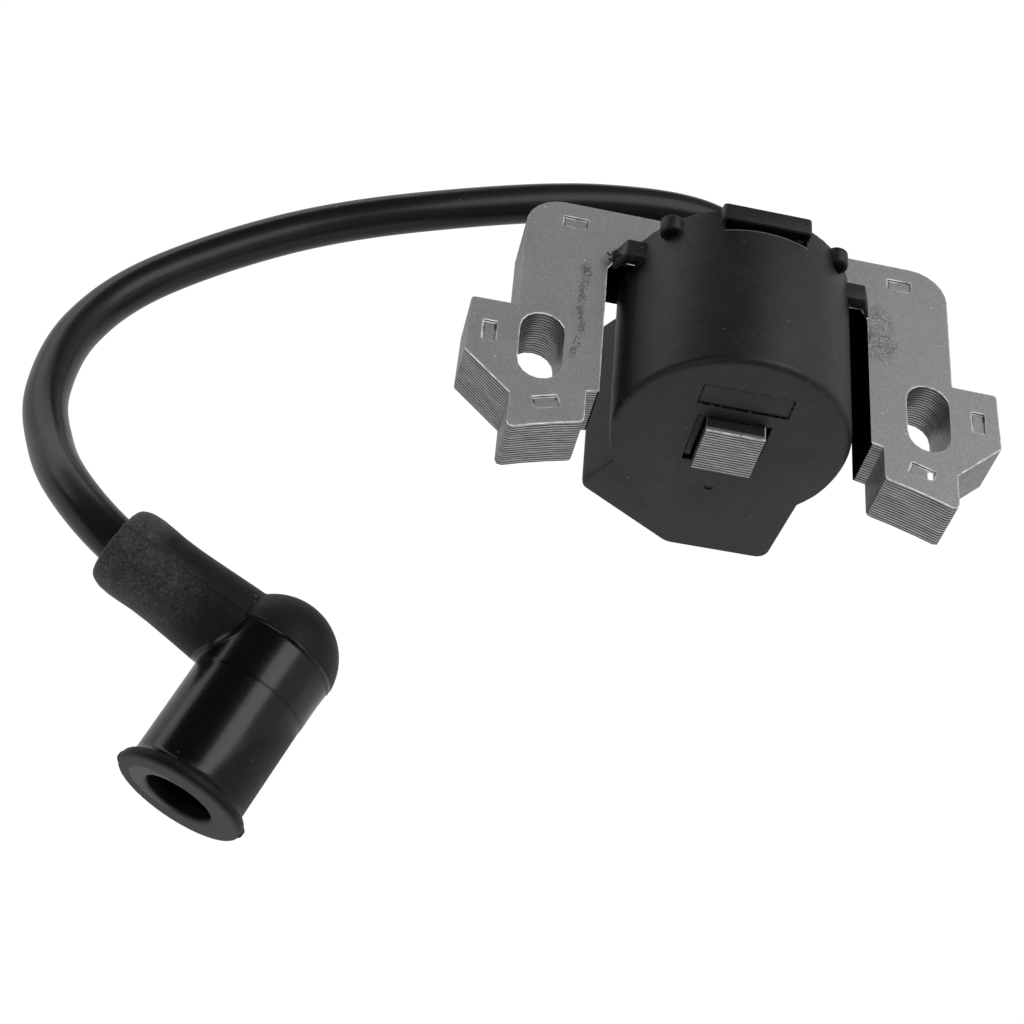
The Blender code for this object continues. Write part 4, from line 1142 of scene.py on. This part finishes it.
def floor():
    """A plain white sweep. The camera sees it evenly lit, as a studio's white table is."""
    bm = bmesh.new()
    bmesh.ops.create_grid(bm, x_segments=1, y_segments=1, size=FLOOR_HALF)
    table = to_object("floor", bm)
    table.location.z = CAD_BOUNDS[0].z - FLOOR_GAP
    shader = Shader("floor")
    shader.done((0.6, 0.6, 0.6, 1), 0.9)
    emission = shader.add("ShaderNodeEmission")
    seen = shader.add("ShaderNodeLightPath").outputs["Is Camera Ray"]
    shader.put(shader.mix(seen, *FLOOR_GLOW), emission.inputs["Strength"])
    blend = shader.add("ShaderNodeMixShader")
    shader.put(shader.between(seen, 0.0, 1.0), blend.inputs[0])
    both = shader.add("ShaderNodeAddShader")
    shader.put(shader.surface.outputs[0], both.inputs[0])
    shader.put(emission.outputs[0], both.inputs[1])
    shader.put(both.outputs[0], blend.inputs[1])
    shader.put(emission.outputs[0], blend.inputs[2])
    output = shader.tree.nodes["Material Output"]
    shader.put(blend.outputs[0], output.inputs["Surface"])
    table.data.materials.append(shader.material)


def aim(obj, place, side, up, back):
    obj.matrix_world = Matrix.Translation(place) @ Matrix((side, up, back)).transposed().to_4x4()


def softbox(name, direction, distance, size, radiance, along):
    """A rectangular light that faces the object. Its long side follows the given direction."""
    width, length = size
    light = bpy.data.lights.new(name, "AREA")
    light.shape = "RECTANGLE"
    light.size = width
    light.size_y = length
    light.energy = radiance * math.pi * width * length
    obj = new_object(name, light)
    back = Vector(direction).normalized()
    centre = Vector(LIGHTS_CENTRE)
    up = (Vector(along) - back * back.dot(Vector(along))).normalized()
    aim(obj, centre + back * distance, up.cross(back), up, back)


def lights():
    """A dim world with a bright wall to the right, white where the camera sees it, and three softboxes."""
    world = bpy.data.worlds.new("studio")
    bpy.context.scene.world = world
    world.use_nodes = True
    nodes, links = world.node_tree.nodes, world.node_tree.links
    direction = nodes.new("ShaderNodeTexCoord").outputs["Generated"]
    right_wall = nodes.new("ShaderNodeVectorMath")
    right_wall.operation = "DOT_PRODUCT"
    right_wall.inputs[1].default_value = WALL_DIRECTION
    brightness = nodes.new("ShaderNodeMapRange")
    brightness.interpolation_type = "SMOOTHSTEP"
    for socket, value in zip(brightness.inputs[1:5], (*WALL_EDGE, *WALL_STRENGTH)):
        socket.default_value = value
    links.new(direction, right_wall.inputs[0])
    links.new(right_wall.outputs["Value"], brightness.inputs[0])
    nodes["Background"].inputs["Color"].default_value = (1, 1, 1, 1)
    seen = nodes.new("ShaderNodeMath")
    seen.operation = "MAXIMUM"
    links.new(brightness.outputs[0], seen.inputs[0])
    links.new(nodes.new("ShaderNodeLightPath").outputs["Is Camera Ray"], seen.inputs[1])
    links.new(seen.outputs[0], nodes["Background"].inputs["Strength"])
    softbox("overhead_strip", (0.50, 0.12, 0.86), 1.0, (0.56, 0.95), 1.75, BARREL_DIRECTION)
    softbox("back_card", (-0.58, 0.79, 0.21), 1.35, (1.7, 0.50), 1.25, Z_AXIS)
    softbox("front_left_box", (-0.60, -0.60, 0.53), 1.1, (0.6, 0.6), 1.1, Z_AXIS)


def camera():
    """The viewing angle: from the front, a little to the left, and 51 degrees above the floor."""
    lens = bpy.data.cameras.new("camera")
    lens.lens = CAMERA_LENS
    lens.sensor_width = 36
    lens.clip_start = 0.01
    obj = new_object("camera", lens)
    right = Vector(CAMERA_RIGHT)
    up = Vector(CAMERA_UP)
    back = right.cross(up).normalized()
    up = back.cross(right).normalized()
    aim(obj, CAMERA_PLACE, right.normalized(), up, back)
    bpy.context.scene.camera = obj
    bpy.context.scene.view_settings.view_transform = "Standard"


# ---------------------------------------------------------------- the object

def build():
    plastic = housing_plastic()
    copper = drawn_metal("copper_strand", (0.72, 0.32, 0.16), 0.35, stretch=(4, 4, 4))
    paint_cad_nodes(plastic, copper)
    housing_shell(plastic)
    high_tension_lead(lead_rubber(), copper)
    boot_cover(boot_rubber())
    floor()
    lights()
    camera()


build()
